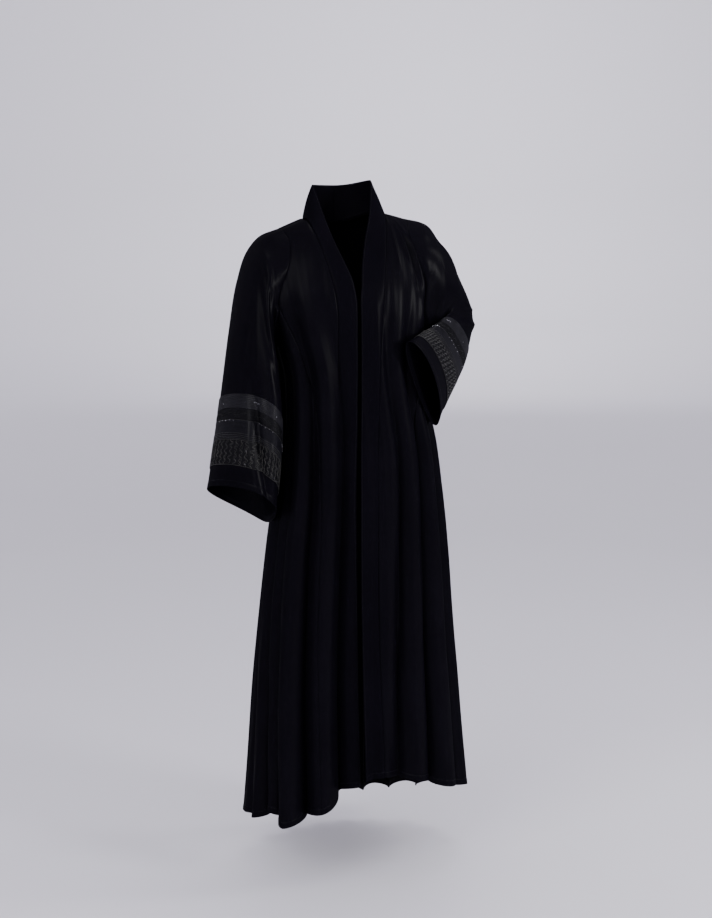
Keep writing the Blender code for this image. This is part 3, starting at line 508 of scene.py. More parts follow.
def sheet(name, points, normal, material, closed=False, thickness=CLOTH):
    """A thin cloth with its outer side on a grid of points, and the cloth laid flat, in metres, as its UV."""
    rows, columns = points.shape[:2]
    flat = np.stack((across(points), along(points)), axis=-1).reshape(-1, 2)
    mesh = bmesh.new()
    bmesh.ops.create_grid(mesh, x_segments=columns - 1, y_segments=rows - 1, size=1)
    for vertex, point in zip(mesh.verts, points.reshape(-1, 3)):
        vertex.co = point
    mesh.verts.index_update()
    layer = mesh.loops.layers.uv.new("cloth")
    for face in mesh.faces:
        for corner in face.loops:
            corner[layer].uv = flat[corner.vert.index]
    mesh.normal_update()
    mesh.faces.ensure_lookup_table()
    middle = mesh.faces[len(mesh.faces) // 2]
    if np.dot(middle.normal, normal.reshape(-1, 3)[middle.verts[0].index]) < 0:
        bmesh.ops.reverse_faces(mesh, faces=mesh.faces[:])
    if closed:
        bmesh.ops.remove_doubles(mesh, verts=mesh.verts[:], dist=1e-6)
    piece = made_of(mesh, name, material)
    wall = piece.modifiers.new("thickness", "SOLIDIFY")
    wall.thickness, wall.offset = thickness, -1
    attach(piece, "root")
    return piece


def hung(cloth, node, slot, cut, area):
    """Hides the node's solid, where the hanging cloth takes its place; cloth, slot, cut and area are not
    used.
    """
    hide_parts(node)


SHOULDER_SHARE = 0.125   # of the back's width, along each shoulder seam
NAPE_FADE = 0.16         # the curve of the neck has faded out this far down
BACK_COLUMNS = 131

corner = float(angle_at(NECK_HALF, 0.0))
back_rows = rows_from(0.0)
shares = np.linspace(0, 1, BACK_COLUMNS)
back_left, back_right = outer_seam(1, "back", back_rows), wrap(-1, outer_seam(-1, "back", back_rows))
back_angle = back_left[:, None] + (back_right - back_left)[:, None] * shares
top_angle = np.interp(shares, (0, SHOULDER_SHARE, 1 - SHOULDER_SHARE, 1),
                      (back_left[0], 180 - corner, 180 + corner, back_right[0]))


def nape_dip(angle):
    """How far down the back the neck seam lies."""
    return NAPE_DOWN * np.sin(np.pi * np.clip((angle - 180 + corner) / (2 * corner), 0, 1)) ** 0.6


fade = eased(1 - back_rows / NAPE_FADE)[:, None]
back = body(back_angle + fade * (top_angle - back_angle[0]), back_rows[:, None] + fade * nape_dip(top_angle))
back_normal = mesh_normals(back, 1)
back = hemmed(sewn(back, "first", "last"), back_normal)
back_cloth = sheet("back_panel_cloth", back, back_normal, CREPE)
hung(back_cloth, "back_panel", "black_crepe", (0.86, 1.50), 0.70)


# ---- Front panels ------------------------------------------------------------------------------------------
# Each front is a narrow piece of the same crepe between the front band and the side panel. It is joined to
# the back along the shoulder, and its outer edge is sewn to the sleeve above and to the side panel below.

BAND_SEAM = ("height", "right_x", "left_x")
BAND_SEAMS = ((0.009, 0.092, 0.092), (-0.012, 0.087, 0.087), (-0.062, 0.0744, 0.0760),
              (-0.106, 0.0650, 0.0680), (-0.150, 0.0560, 0.0620), (-0.197, 0.0500, 0.0560),
              (-0.260, 0.0490, 0.0480), (-0.400, 0.0485, 0.0450), (-1.360, 0.0490, 0.0450))


def band_seam(side, down):
    x = column(BAND_SEAMS, BAND_SEAM, "left_x" if side > 0 else "right_x")
    x = smooth(-column(BAND_SEAMS, BAND_SEAM, "height"), x, -smooth(DOWN, HEIGHTS, down))
    return angle_at(side * x, down)


SIDES = (("left", 1), ("right", -1))
FRONT_CUTS = {"left": ((0.18, 1.37), 0.182), "right": ((0.15, 1.40), 0.114)}   # width and length, and area
FRONT_COLUMNS = 44
hem_lines = [(back[HEM_STITCH_ROW], back_normal[HEM_STITCH_ROW])]

for label, side in SIDES:
    inner, outer = band_seam(side, back_rows), outer_seam(side, "front", back_rows)
    angle = inner[:, None] + (outer - inner)[:, None] * np.linspace(0, 1, FRONT_COLUMNS)
    points = body(wrap(side, angle), np.broadcast_to(back_rows[:, None], angle.shape))
    normal = mesh_normals(points, side)
    points = hemmed(sewn(points, "first", "last", "top"), normal)
    hem_lines.append((points[HEM_STITCH_ROW], normal[HEM_STITCH_ROW]))
    cloth = sheet("front_panel_cloth_" + label, points, normal, CREPE)
    hung(cloth, "front_panel_" + label, "black_crepe", *FRONT_CUTS[label])


# ---- Side panels -------------------------------------------------------------------------------------------
# Under each arm a piece that flares from a narrow top runs down to the hem. It gives the cloak its sweep, and
# its front seam curves forward from the armhole and then drops beside the front folds.

SIDE_CUTS = {"left": ((0.54, 1.23), 0.400), "right": ((0.55, 1.24), 0.412)}
UNDERARM_FADE = -0.50    # the curve of the underarm has faded out here
SIDE_COLUMNS = 96
side_tops = {}

for label, side in SIDES:
    rows = rows_from(float(down_at(ARMHOLE_TURN)))
    front, rear = wrap(side, side_seam(side, "front", rows)), wrap(side, side_seam(side, "back", rows))
    shares = np.linspace(0, 1, SIDE_COLUMNS)
    angle = front[:, None] + (rear - front)[:, None] * shares
    fade = eased(1 - (rows - rows[0]) / (down_at(UNDERARM_FADE) - rows[0]))[:, None]
    deep = (down_at(UNDERARM) - rows[0]) * np.sin(np.pi * shares) ** 0.75
    points = body(angle, rows[:, None] + fade * deep)
    normal = mesh_normals(points, side)
    side_tops[label] = points[0].copy()
    points = hemmed(sewn(points, "first", "last", "top"), normal)
    hem_lines.append((points[HEM_STITCH_ROW], normal[HEM_STITCH_ROW]))
    cloth = sheet("side_panel_cloth_" + label, points, normal, CREPE)
    hung(cloth, "side_panel_" + label, "black_crepe", *SIDE_CUTS[label])


# ---- Sleeves -----------------------------------------------------------------------------------------------
# Each sleeve is one wide tapering tube of crepe, set into the armhole, with a plain turned hem 5 cm deep at
# the open cuff. The right arm hangs; the left one is bent forward over the waist, and its cloth drops.

# The sleeves, a row for each ring: points on its outer, front, inner and back lines. The cap is the first
# ring, given by its distances from the armhole.
CAP_RIGHT = ((-0.040, 0.002, -0.016), (-0.009, -0.004, -0.004), (-0.012, 0.000, -0.006),
             (-0.013, 0.002, -0.004))
CAP_LEFT = ((0.052, 0.002, -0.014), (0.012, -0.002, 0.000), (0.013, 0.000, -0.004), (0.015, 0.003, -0.002))
SLEEVE_RIGHT = (
    ((-0.210, 0.004, -0.060), (-0.184, -0.098, -0.138), (-0.186, -0.004, -0.300), (-0.188, 0.090, -0.138)),
    ((-0.239, 0.005, -0.135), (-0.196, -0.108, -0.186), (-0.184, -0.006, -0.326), (-0.205, 0.090, -0.195)),
    ((-0.259, 0.005, -0.240), (-0.200, -0.119, -0.266), (-0.171, -0.020, -0.384), (-0.213, 0.082, -0.300)),
    ((-0.284, 0.006, -0.398), (-0.204, -0.129, -0.396), (-0.163, -0.030, -0.482), (-0.214, 0.074, -0.466)),
    ((-0.318, 0.010, -0.607), (-0.224, -0.142, -0.604), (-0.172, -0.006, -0.690), (-0.216, 0.074, -0.680)),
)
SLEEVE_LEFT = (
    ((0.234, 0.010, -0.054), (0.196, -0.092, -0.125), (0.208, 0.002, -0.294), (0.206, 0.098, -0.120)),
    ((0.292, 0.029, -0.141), (0.228, -0.082, -0.162), (0.224, 0.006, -0.292), (0.244, 0.118, -0.168)),
    ((0.336, 0.037, -0.253), (0.251, -0.056, -0.202), (0.238, 0.022, -0.306), (0.304, 0.138, -0.242)),
    ((0.322, 0.030, -0.295), (0.223, -0.072, -0.225), (0.227, -0.003, -0.336), (0.299, 0.071, -0.347)),
    ((0.169, -0.159, -0.345), (0.102, -0.172, -0.268), (0.133, -0.142, -0.376), (0.196, -0.107, -0.467)),
)

TRIM_LENGTH = 0.215     # from the rim to the top of the trim, which is the last but one ring
CUFF_HEM = 0.050        # depth of the plain hem below the trim
SLEEVE_COLUMNS = 121
ARM_ROWS, TRIM_ROWS, ZONE_ROWS, ARMHOLE_ROWS = 92, 46, 60, 41
CUFF_ROWS_FROM = 0.020  # where the close rows of the cuff's edge begin
COLUMNS_EVEN = 4.5      # rings down from the armhole at which the columns stand evenly round the sleeve
CREASES_GROWN = 0.6     # and at which its creases have grown in
ALLOWANCE = 0.0035      # of the seam, turned in towards the chest
CHEST_CENTRE = np.array((0.0, 0.0, -0.30))


def travelled(line):
    """Each point's distance along a line of points."""
    return np.concatenate(([0], np.cumsum(np.linalg.norm(np.diff(line, axis=0), axis=1))))


def points_at(steps, place, line):
    """Points of a line at some distances along it."""
    return np.stack([np.interp(steps, place, line[:, axis]) for axis in range(3)], axis=-1)


def on_ring(ring, turn):
    """A point of a ring: turn runs from its outer line over the front, the inner line and the back."""
    outer, front, inner, back = ring
    turn = turn[..., None]
    return ((outer + front + inner + back) / 4 + (outer - inner) / 2 * np.cos(turn)
            + (front - back) / 2 * np.sin(turn) + (outer + inner - front - back) / 4 * np.cos(2 * turn))


def sleeve_surface(side, loop, places):
    """Rows of a sleeve at places counted in rings from the armhole, over the columns of its loop."""
    rings = np.array(SLEEVE_LEFT if side > 0 else SLEEVE_RIGHT)
    cap = np.array(CAP_LEFT if side > 0 else CAP_RIGHT)
    steps = travelled(loop)
    under = int(np.argmin(loop[:, 2]))
    turns = np.concatenate((180 * steps[:under + 1] / steps[under],
                            180 + 180 * (steps[under + 1:] - steps[under]) / (steps[-1] - steps[under])))
    even = np.linspace(0, 360, len(turns))
    rows = []
    for place in places:
        turn = np.radians(turns + (even - turns) * eased(place / COLUMNS_EVEN))
        values = np.stack([loop, loop + on_ring(cap, np.radians(turns))]
                          + [on_ring(ring, turn) for ring in rings])
        chords = np.diff(values, axis=0)
        heads = unit(chords)
        heads = np.concatenate((heads[:1], (heads[:-1] + heads[1:]) / 2, heads[-1:]))
        index = min(int(place), len(values) - 2)
        part, length = place - index, np.linalg.norm(chords[index], axis=-1, keepdims=True)
        rows.append(curved(part, length, values[index], values[index + 1], heads[index], heads[index + 1]))
    points = np.array(rows)
    points[:, -1] = points[:, 0]
    normal = mesh_normals(points, -side, True)
    grown = eased(np.array(places) / CREASES_GROWN)[:, None, None]
    points = drape(drape(points, normal * grown, DRAGS), normal * grown, CREASES, CREASE_SPREAD)
    points[:, -1] = points[:, 0]
    return points, mesh_normals(points, -side, True)


LAST_RING = len(SLEEVE_LEFT) + 1
trim_zones, cuff_lines = {}, []

for label, side in SIDES:
    seam_rows = np.linspace(0, float(down_at(ARMHOLE_TURN)), ARMHOLE_ROWS)[:-1]
    front_edge = body(wrap(side, armhole_seam(side, "front", seam_rows)), seam_rows)
    back_edge = body(wrap(side, armhole_seam(side, "back", seam_rows)), seam_rows)
    loop = np.concatenate((front_edge, side_tops[label], back_edge[::-1]))
    place = travelled(loop)
    loop = points_at(np.linspace(0, place[-1], SLEEVE_COLUMNS), place, loop)
    zone = sleeve_surface(side, loop, np.linspace(LAST_RING - 1, LAST_RING, ZONE_ROWS))
    trim_zones[label] = [grid[::-1] for grid in zone]      # from the rim upwards
    places = np.concatenate((np.linspace(0, LAST_RING - 1, ARM_ROWS)[:-1],
                             LAST_RING - np.linspace(TRIM_LENGTH, CUFF_ROWS_FROM, TRIM_ROWS) / TRIM_LENGTH,
                             LAST_RING - np.array(HEM_STEPS) / TRIM_LENGTH))
    points, normal = sleeve_surface(side, loop, places)
    turned_in = points[:1] + ALLOWANCE * unit(CHEST_CENTRE - points[:1])     # under the body's edge
    points, normal = np.concatenate((turned_in, points)), np.concatenate((normal[:1], normal))
    points = hemmed(sewn(points, "top"), normal)
    points[:, -1] = points[:, 0]
    cuff_lines.append((points[HEM_STITCH_ROW], normal[HEM_STITCH_ROW]))
    cloth = sheet("sleeve_cloth_" + label, points, normal, CREPE, closed=True)
    hung(cloth, "sleeve_" + label, "black_crepe", (0.60, 0.57), 0.262)


# ---- Collar and front bands --------------------------------------------------------------------------------
# The collar stands up round the nape and runs down both front edges as a band, of doubled crepe pressed flat.
# Its outer edge is seamed to the neck and fronts, and its free edge is a fold.

# The free edge of the band and collar, a row for each point: the height of the seam it faces, then x, y, z.
BAND_EDGES_RIGHT = ((0.009, 0.068, -0.002, 0.078), (-0.012, 0.0590, -0.034, 0.030),
                    (-0.062, 0.0435, -0.082, -0.040), (-0.106, 0.0280, -0.114, -0.088),
                    (-0.150, 0.0130, -0.137, -0.136))
BAND_EDGES_LEFT = ((0.009, 0.068, -0.002, 0.088), (-0.012, 0.0560, -0.036, 0.034),
                   (-0.062, 0.0270, -0.088, -0.046), (-0.106, 0.0120, -0.118, -0.098),
                   (-0.150, 0.0050, -0.138, -0.144))
COLLAR_BACK = (0.000, 0.058, 0.076)   # the collar's free edge above the nape
BAND_SINKS = -0.150                   # from here down it sinks into the body's own surface,
BAND_JOINS_BODY = -0.190              # where it lies from here down
BAND_SINKING, BAND_STANDING = 0.040, 0.15   # over which heights it sinks, and stops standing off

OPENING_HALF = 0.003     # half the gap between the two front edges
OPENING_X = -0.0025      # the front edges hang a little to the wearer's right
BAND_CUTS = {"left": ((0.060, 1.62), 0.080), "right": ((0.066, 1.62), 0.082)}
BAND_CLOTH = 0.0017      # two thicknesses, pressed
BAND_CROWN, ROLLED_EDGE = 0.0025, 0.0007
NAPE_COLUMNS, BAND_COLUMNS = 46, 17
band_lines = []


def doubled_crepe(start, place, flat):
    """The same crepe, pressed smoother where it is doubled."""
    colour, rough, height, depth = crepe(start, place, flat)
    return colour, rough - 0.05, height, depth * 0.8


BAND_CREPE = finish("black_crepe_band_cloth", doubled_crepe, Specular_IOR_Level=0.0, Coat_Weight=0.018,
                    Coat_Roughness=0.30)

for label, side in SIDES:
    edge_rows = BAND_EDGES_LEFT if side > 0 else BAND_EDGES_RIGHT
    neck_angle = np.linspace(180, 180 - side * corner, NAPE_COLUMNS)
    seams = body(neck_angle, nape_dip(neck_angle))
    first_edge = np.array((side * edge_rows[0][1], edge_rows[0][2], edge_rows[0][3]))
    share = (seams[:, 0] - seams[0, 0]) / (seams[-1, 0] - seams[0, 0])
    swing = np.sqrt(np.maximum(1 - share ** 2.2, 0))
    edges = np.stack((COLLAR_BACK[0] + (first_edge[0] - COLLAR_BACK[0]) * share,
                      first_edge[1] + (COLLAR_BACK[1] - first_edge[1]) * swing,
                      COLLAR_BACK[2] + (first_edge[2] - COLLAR_BACK[2]) * share ** 2), axis=-1)
    nape, rows, edge_x = len(seams), back_rows[1:], OPENING_X + side * OPENING_HALF
    heights = smooth(DOWN, HEIGHTS, rows)
    seam_angle, edge_angle = band_seam(side, rows), angle_at(edge_x, rows)
    joins = down_at(BAND_JOINS_BODY)
    join = body(wrap(side, angle_at(edge_x, joins)), joins)
    table = np.array([(side * x, y, z) for _, x, y, z in edge_rows] + [tuple(join)])
    free = smooth([-row[0] for row in edge_rows] + [-BAND_JOINS_BODY], table, -heights)
    share_across = np.linspace(0, 1, BAND_COLUMNS)
    seams, edges = np.concatenate((seams, body(wrap(side, seam_angle), rows))), np.concatenate((edges, free))
    straight = seams[:, None] + (edges - seams)[:, None] * share_across[None, :, None]
    lying = seam_angle[:, None] + (edge_angle - seam_angle)[:, None] * share_across
    lying = body(wrap(side, lying), np.broadcast_to(rows[:, None], lying.shape))
    lies = np.concatenate((np.zeros(nape), eased((BAND_SINKS - heights) / BAND_SINKING)))[:, None, None]
    points = straight * (1 - lies) + np.concatenate((straight[:nape], lying)) * lies
    standing = np.concatenate((np.ones(nape), eased((heights - BAND_JOINS_BODY) / BAND_STANDING)))
    standing = standing[:, None, None]
    crown = BAND_CROWN * np.sin(np.pi * share_across)[None, :, None] * standing
    points = points + mesh_normals(points, -side) * crown
    normal = mesh_normals(points, -side)
    widths = across(points)
    rolled = ROLLED_EDGE * eased(widths / 0.005) * eased((widths[:, -1:] - widths) / 0.003)
    seamed = sewn(points, "first")
    seamed[:nape] = points[:nape]
    points = hemmed(seamed + normal * rolled[..., None], normal)
    band_lines.append((points[2:, BAND_COLUMNS - 2], normal[2:, BAND_COLUMNS - 2]))
    hem_lines.append((points[HEM_STITCH_ROW], normal[HEM_STITCH_ROW]))
    cloth = sheet("band_cloth_" + label, points, normal, BAND_CREPE, thickness=BAND_CLOTH)
    hung(cloth, "band_" + label, "black_crepe_band", *BAND_CUTS[label])


# ---- Tucked strips -----------------------------------------------------------------------------------------
# The top of each sleeve's trim is a strip of grey satin 3.3 cm deep. It is sewn in fine level tucks, laid
# round the sleeve and stitched down along both edges, as the other strips are.

STRIP_LIFT = 0.0012      # from the sleeve to a strip's outer side
STRIP_CLOTH, STRIP_GAP = 0.0009, 0.00015
TUCK_DEPTH, TUCK_PITCH = 0.0006, 0.0041
LACE_EDGES = (CUFF_HEM, 0.110)
SATIN_EDGES = (0.110, 0.156)
VINE_EDGES = (0.156, 0.182)
TUCKED_EDGES = (0.182, 0.215)
SATIN_INK = (0.0020, 0.0019, 0.0028)
SATIN_WORN = (0.0125, 0.0121, 0.0150)


def on_sleeve(label, from_rim, round_share, lift):
    """Points and normals over the trim of a sleeve, at distances from its rim and shares of the way round."""
    points, normal = trim_zones[label]
    row = np.clip(np.asarray(from_rim, float) / TRIM_LENGTH, 0, 1) * (len(points) - 1)
    spot = np.mod(np.asarray(round_share, float), 1) * (points.shape[1] - 1)
    r, c = np.minimum(row.astype(int), len(points) - 2), np.minimum(spot.astype(int), points.shape[1] - 2)
    a, b = (row - r)[..., None], (spot - c)[..., None]
    mixed = [(1 - a) * ((1 - b) * grid[r, c] + b * grid[r, c + 1])
             + a * ((1 - b) * grid[r + 1, c] + b * grid[r + 1, c + 1]) for grid in (points, normal)]
    facing = unit(mixed[1])
    return mixed[0] + facing * np.asarray(lift)[..., None], facing


def strip(name, label, edges, material, relief, count):
    """A strip sewn round the sleeve, its outer side raised by the relief at each distance from the rim."""
    level = np.linspace(edges[1] - STRIP_GAP, edges[0] + STRIP_GAP, count)[:, None]
    share = np.linspace(0, 1, SLEEVE_COLUMNS)[None, :]
    level, share = np.broadcast_arrays(level, share)
    points, normal = on_sleeve(label, level, share, STRIP_LIFT + relief(level))
    points[:, -1], normal[:, -1] = points[:, 0], normal[:, 0]
    made = sheet(name + "_cloth_" + label, points, normal, material, closed=True, thickness=STRIP_CLOTH)
    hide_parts(name + "_" + label)


def tucked_satin(start, place, flat):
    """Grey satin with the fine slubs of its weave running round the sleeve."""
    drawn = start.node("Mapping", {"Vector": flat, "Scale": (60.0, 1400.0, 1.0)})
    slub = start.node("TexNoise", {"Vector": drawn, "Scale": 1.0, "Detail": 3.0})
    broad = start.node("TexNoise", {"Vector": place, "Scale": 35.0, "Detail": 2.0})
    worn = slub.between(0.3, 0.7) * 0.6 + broad.between(0.3, 0.7) * 0.4
    return worn.mix(SATIN_INK, SATIN_WORN), 0.30 + slub.between(0.3, 0.7) * 0.14, slub, 0.00022


TUCKED = finish("tucked_satin", tucked_satin, Specular_IOR_Level=0.0, Coat_Weight=0.13, Coat_Roughness=0.30)
for label, side in SIDES:
    strip("tucked_strip", label, TUCKED_EDGES, TUCKED,
          lambda level: TUCK_DEPTH * np.abs(np.sin(np.pi * (level - TUCKED_EDGES[0]) / TUCK_PITCH)), 66)


# ---- Vine strips -------------------------------------------------------------------------------------------
# Below the tucks lies a narrower, darker strip of net. It is worked with small satin-stitched leaf sprays in
# a dull thread, on a stem that waves round the sleeve.

STITCHED_INK = (0.0018, 0.0016, 0.0026)
THREAD_DULL = (0.010, 0.010, 0.011)
THREAD_BRIGHT = (0.044, 0.043, 0.040)
NET_THREAD, SPRAY_THREAD = (0.0045, 0.0045, 0.0054), (0.0060, 0.0060, 0.0066)
MESH_WAVES = 320.0       # of the net, in its two-way grid


def net(start, place, flat):
    """Dark net, whose fine mesh shows as a two-way grid of threads."""
    warp, weft = [start.node("TexWave", {"Vector": flat, "Scale": MESH_WAVES}, 1, wave_type="BANDS",
                             bands_direction=direction) for direction in ("X", "Y")]
    threads = warp.maths("MAXIMUM", warp, weft)
    colour = threads.between(0.5, 1.0).mix(STITCHED_INK, NET_THREAD)
    return colour, 0.62 - threads * 0.12, threads, 0.0002


def thread(start, place, flat):
    """Grey embroidery thread: a silky twist, brighter in some places than in others."""
    twist = start.node("TexNoise", {"Vector": place, "Scale": 1400.0, "Detail": 2.0})
    broad = start.node("TexNoise", {"Vector": place, "Scale": 45.0, "Detail": 2.0})
    shine = twist.between(0.35, 0.65) * 0.4 + broad.between(0.35, 0.65) * 0.6
    return shine.mix(THREAD_DULL, THREAD_BRIGHT), 0.46 - shine * 0.12, twist, 0.0001


def dull_thread(start, place, flat):
    """The darker thread of the sprays."""
    colour, rough, height, depth = thread(start, place, flat)
    return rough.between(0.34, 0.46).mix(THREAD_DULL, SPRAY_THREAD), rough + 0.10, height, depth


NET = finish("embroidered_net", net, Specular_IOR_Level=0.0, Coat_Weight=0.10, Coat_Roughness=0.45)
THREAD = finish("grey_thread", thread, Specular_IOR_Level=0.18)
DULL = finish("dull_thread", dull_thread, Specular_IOR_Level=0.04)


def cords(name, lines, material):
    """Fine cords, each a line of points with a radius at each point, made into one mesh."""
    curve = bpy.data.curves.new(name + "_lines", "CURVE")      # a curve's bevel makes each cord round
    curve.dimensions, curve.bevel_depth, curve.bevel_resolution, curve.use_fill_caps = "3D", 1.0, 0, True
    for points, radii in lines:
        spline = curve.splines.new("POLY")
        spline.points.add(len(points) - 1)
        places = np.column_stack((points, np.ones(len(points)))).astype(np.float32)
        spline.points.foreach_set("co", places.ravel())
        spline.points.foreach_set("radius", np.broadcast_to(radii, len(points)).astype(np.float32))
    holder = linked(name + "_lines", curve)
    data = bpy.data.meshes.new_from_object(holder.evaluated_get(bpy.context.evaluated_depsgraph_get()))
    bpy.data.objects.remove(holder)
    bpy.data.curves.remove(curve)
    data.name = name
    data.shade_smooth()
    data.materials.clear()
    data.materials.append(material)
    made = linked(name, data)
    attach(made, "root")


LEAF_RADII = np.array((0.15, 0.75, 1.0, 0.80, 0.15))
TRIM_ROUND = 0.56        # about how far it is round the sleeve at the trim
CORD_LIFT, LEAF_LIFT = 0.0002, 0.0003    # of thread above a strip
SPRAYS = 30
LARGE_SPRAY, SMALL_SPRAY = (8, 0.0098), (5, 0.0062)      # leaves, and their length
SPRAY_LEAF_HALF, STEM_RADIUS = 0.00065, 0.0004
STEM_LEVEL, STEM_WAVE = 0.013, 0.0022    # above the strip's lower edge, and up and down from there


def leaf(label, level, share, heading, length, width):
    """A small satin-stitched leaf: level and share place its root, heading is its angle from straight up."""
    step = np.linspace(0, length, len(LEAF_RADII))
    levels = level + step * np.cos(heading)
    shares = share + step * np.sin(heading) / TRIM_ROUND
    return on_sleeve(label, levels, shares, STRIP_LIFT + LEAF_LIFT)[0], LEAF_RADII * width


def stem(share):
    """Height of the stem above the rim, by the share of the way round."""
    return VINE_EDGES[0] + STEM_LEVEL + STEM_WAVE * np.sin(np.pi * SPRAYS * share)


for label, side in SIDES:
    strip("vine_strip", label, VINE_EDGES, NET, lambda level: 0 * level, 12)
    wave = np.linspace(0, 1, 20 * SPRAYS + 1)
    sprays = [(on_sleeve(label, stem(wave), wave, STRIP_LIFT + CORD_LIFT)[0], STEM_RADIUS)]
    for number in range(SPRAYS):
        share = (number + 0.5) / SPRAYS
        petals, length = LARGE_SPRAY if number % 3 == 0 else SMALL_SPRAY
        for petal in range(petals):
            heading = 2 * np.pi * petal / petals + 0.6 * (number % 2)
            sprays.append(leaf(label, stem(share), share, heading, length, SPRAY_LEAF_HALF))
    cords("vine_sprays_" + label, sprays, DULL)


# ---- Satin strips ------------------------------------------------------------------------------------------
# Below the vine lies a plain band of grey satin, 4.6 cm deep. Its lower third is pressed in fine level ribs
# and laid with grey piping, and one more cord runs along its upper edge.

SHEEN_DARK, SHEEN_LIGHT = (0.0016, 0.0015, 0.0023), (0.0072, 0.0070, 0.0094)
RIB_DEPTH, RIB_PITCH, RIBS_TOP = 0.0005, 0.0023, 0.1260
PIPING = (0.1120, 0.1160, 0.1200, 0.1245, 0.1550)
PIPING_LIFT, PIPING_RADIUS = 0.0004, 0.00025
ROUND_POINTS = 181       # of a cord that runs right round the sleeve


def satin(start, place, flat):
    """Smooth satin with long faint streaks round the sleeve."""
    drawn = start.node("Mapping", {"Vector": flat, "Scale": (14.0, 900.0, 1.0)})
    streak = start.node("TexNoise", {"Vector": drawn, "Scale": 1.0, "Detail": 3.0})
    worn = streak.between(0.3, 0.7)
    return worn.mix(SHEEN_DARK, SHEEN_LIGHT), 0.30 + worn * 0.12, streak, 0.00014


SATIN = finish("plain_satin", satin, Specular_IOR_Level=0.0, Coat_Weight=0.11, Coat_Roughness=0.28)


def ribs(level):
    return RIB_DEPTH * np.sin(np.pi * (level - SATIN_EDGES[0]) / RIB_PITCH) ** 2 * (level < RIBS_TOP)


def round_sleeve(label, level, lift):
    """A line right round the sleeve, on a strip."""
    return on_sleeve(label, level, np.linspace(0, 1, ROUND_POINTS), STRIP_LIFT + lift)[0]


for label, side in SIDES:
    strip("satin_strip", label, SATIN_EDGES, SATIN, ribs, 70)
    cords("piping_" + label, [(round_sleeve(label, level, PIPING_LIFT), PIPING_RADIUS) for level in PIPING],
          THREAD)


# ---- Lace strips -------------------------------------------------------------------------------------------
# The widest and lowest strip is lace, 6 cm deep: dark net, corded in upright waving scrolls of grey thread
# with small leaves in their bends, and edged by a cord above and below.

COLUMNS = 50             # of scrolls round the sleeve
WAVES = 4                # in each column's two cords, which run side by side
WAVE_HALF = 0.0028       # how far they sway to either side
APART, APART_SWAY = 0.0008, 0.0009       # how far each runs from the middle between them
LACE_CORD, EDGE_CORD, LACE_LIFT = 0.00038, 0.0004, 0.0004   # the cords' radii, and their height on the net
CORD_POINTS = 49
LACE_MARGIN, EDGE_MARGIN, CORDED_HEIGHT = 0.0020, 0.0010, 0.0560
LEAF_LENGTH, LEAF_HALF, LEAF_LEAN = 0.0032, 0.00042, 0.7
LEAF_ASIDE, LEAF_BELOW = 0.0012, 0.0010  # where its root is, from a bend of the cords

for label, side in SIDES:
    strip("lace_strip", label, LACE_EDGES, NET, lambda level: 0 * level, 22)
    part, scrolls = np.linspace(0, 1, CORD_POINTS), []
    level = LACE_EDGES[0] + LACE_MARGIN + CORDED_HEIGHT * part
    for number in range(COLUMNS):
        phase = 2 * np.pi * WAVES * part + 0.9 * number + 0.9 * np.sin(5 * part + 1.7 * number)
        reach = WAVE_HALF * (0.80 + 0.30 * np.sin(9 * part + 2.3 * number))
        for hand in (1, -1):
            sway = reach * np.sin(phase) + APART * hand + APART_SWAY * hand * np.cos(0.5 * phase)
            share = (number + 0.5) / COLUMNS + sway / TRIM_ROUND
            scrolls.append((on_sleeve(label, level, share, STRIP_LIFT + LACE_LIFT)[0], LACE_CORD))
        for bend in range(2 * WAVES):
            hand, place = 1 - 2 * (bend % 2), int((CORD_POINTS - 1) * (bend + 0.5) / (2 * WAVES))
            root = (number + 0.5) / COLUMNS - hand * LEAF_ASIDE / TRIM_ROUND
            scrolls.append(leaf(label, level[place] - LEAF_BELOW, root, -LEAF_LEAN * hand, LEAF_LENGTH,
                                LEAF_HALF))
    for edge in (LACE_EDGES[0] + EDGE_MARGIN, LACE_EDGES[1] - EDGE_MARGIN):
        scrolls.append((round_sleeve(label, edge, CORD_LIFT), EDGE_CORD))
    cords("lace_scrolls_" + label, scrolls, THREAD)


# ---- Stones ------------------------------------------------------------------------------------------------
# Small faceted stones of foiled glass are glued on: in short rows on the satin, in clusters on the tucks, and
# one by one in the columns of the lace.

# A row for each kind of group: its slot, its distance from the rim, where the first group starts as a share
# of the way round, how many groups there are, the stones in each and their pitch.
STONE_GROUPS = (("satin_strip", 0.1530, 0.030, 6, 5, 0.0105), ("tucked_strip", 0.1985, 0.172, 4, 4, 0.0052),
                ("tucked_strip", 0.1930, 0.290, 4, 1, 0.0050))
SMOKY, CLEAR = (0.20, 0.20, 0.22), (0.60, 0.60, 0.64)


def glass(start, place, flat):
    """Cut glass over foil, smoky in some facets."""
    smoke = start.node("TexNoise", {"Vector": place, "Scale": 260.0, "Detail": 1.0})
    return smoke.between(0.3, 0.7).mix(SMOKY, CLEAR), 0.06 + smoke * 0.08, smoke, 0.00001


GLASS = finish("cut_glass", glass, Metallic=0.85, Specular_IOR_Level=0.8)
STONE_RADIUS, LACE_STONE_RADIUS, STONE_LIFT = 0.0010, 0.0009, 0.0006
STONE_TABLE, STONE_DEPTH = 0.55, 0.8     # shares of a stone's radius
STONE_STAGGER = 0.0012                   # of every other stone in a row
LACE_STONES_EVERY = 8                    # columns of the lace
LACE_STONE_LEVELS = (0.007, 0.037)       # above its lower edge


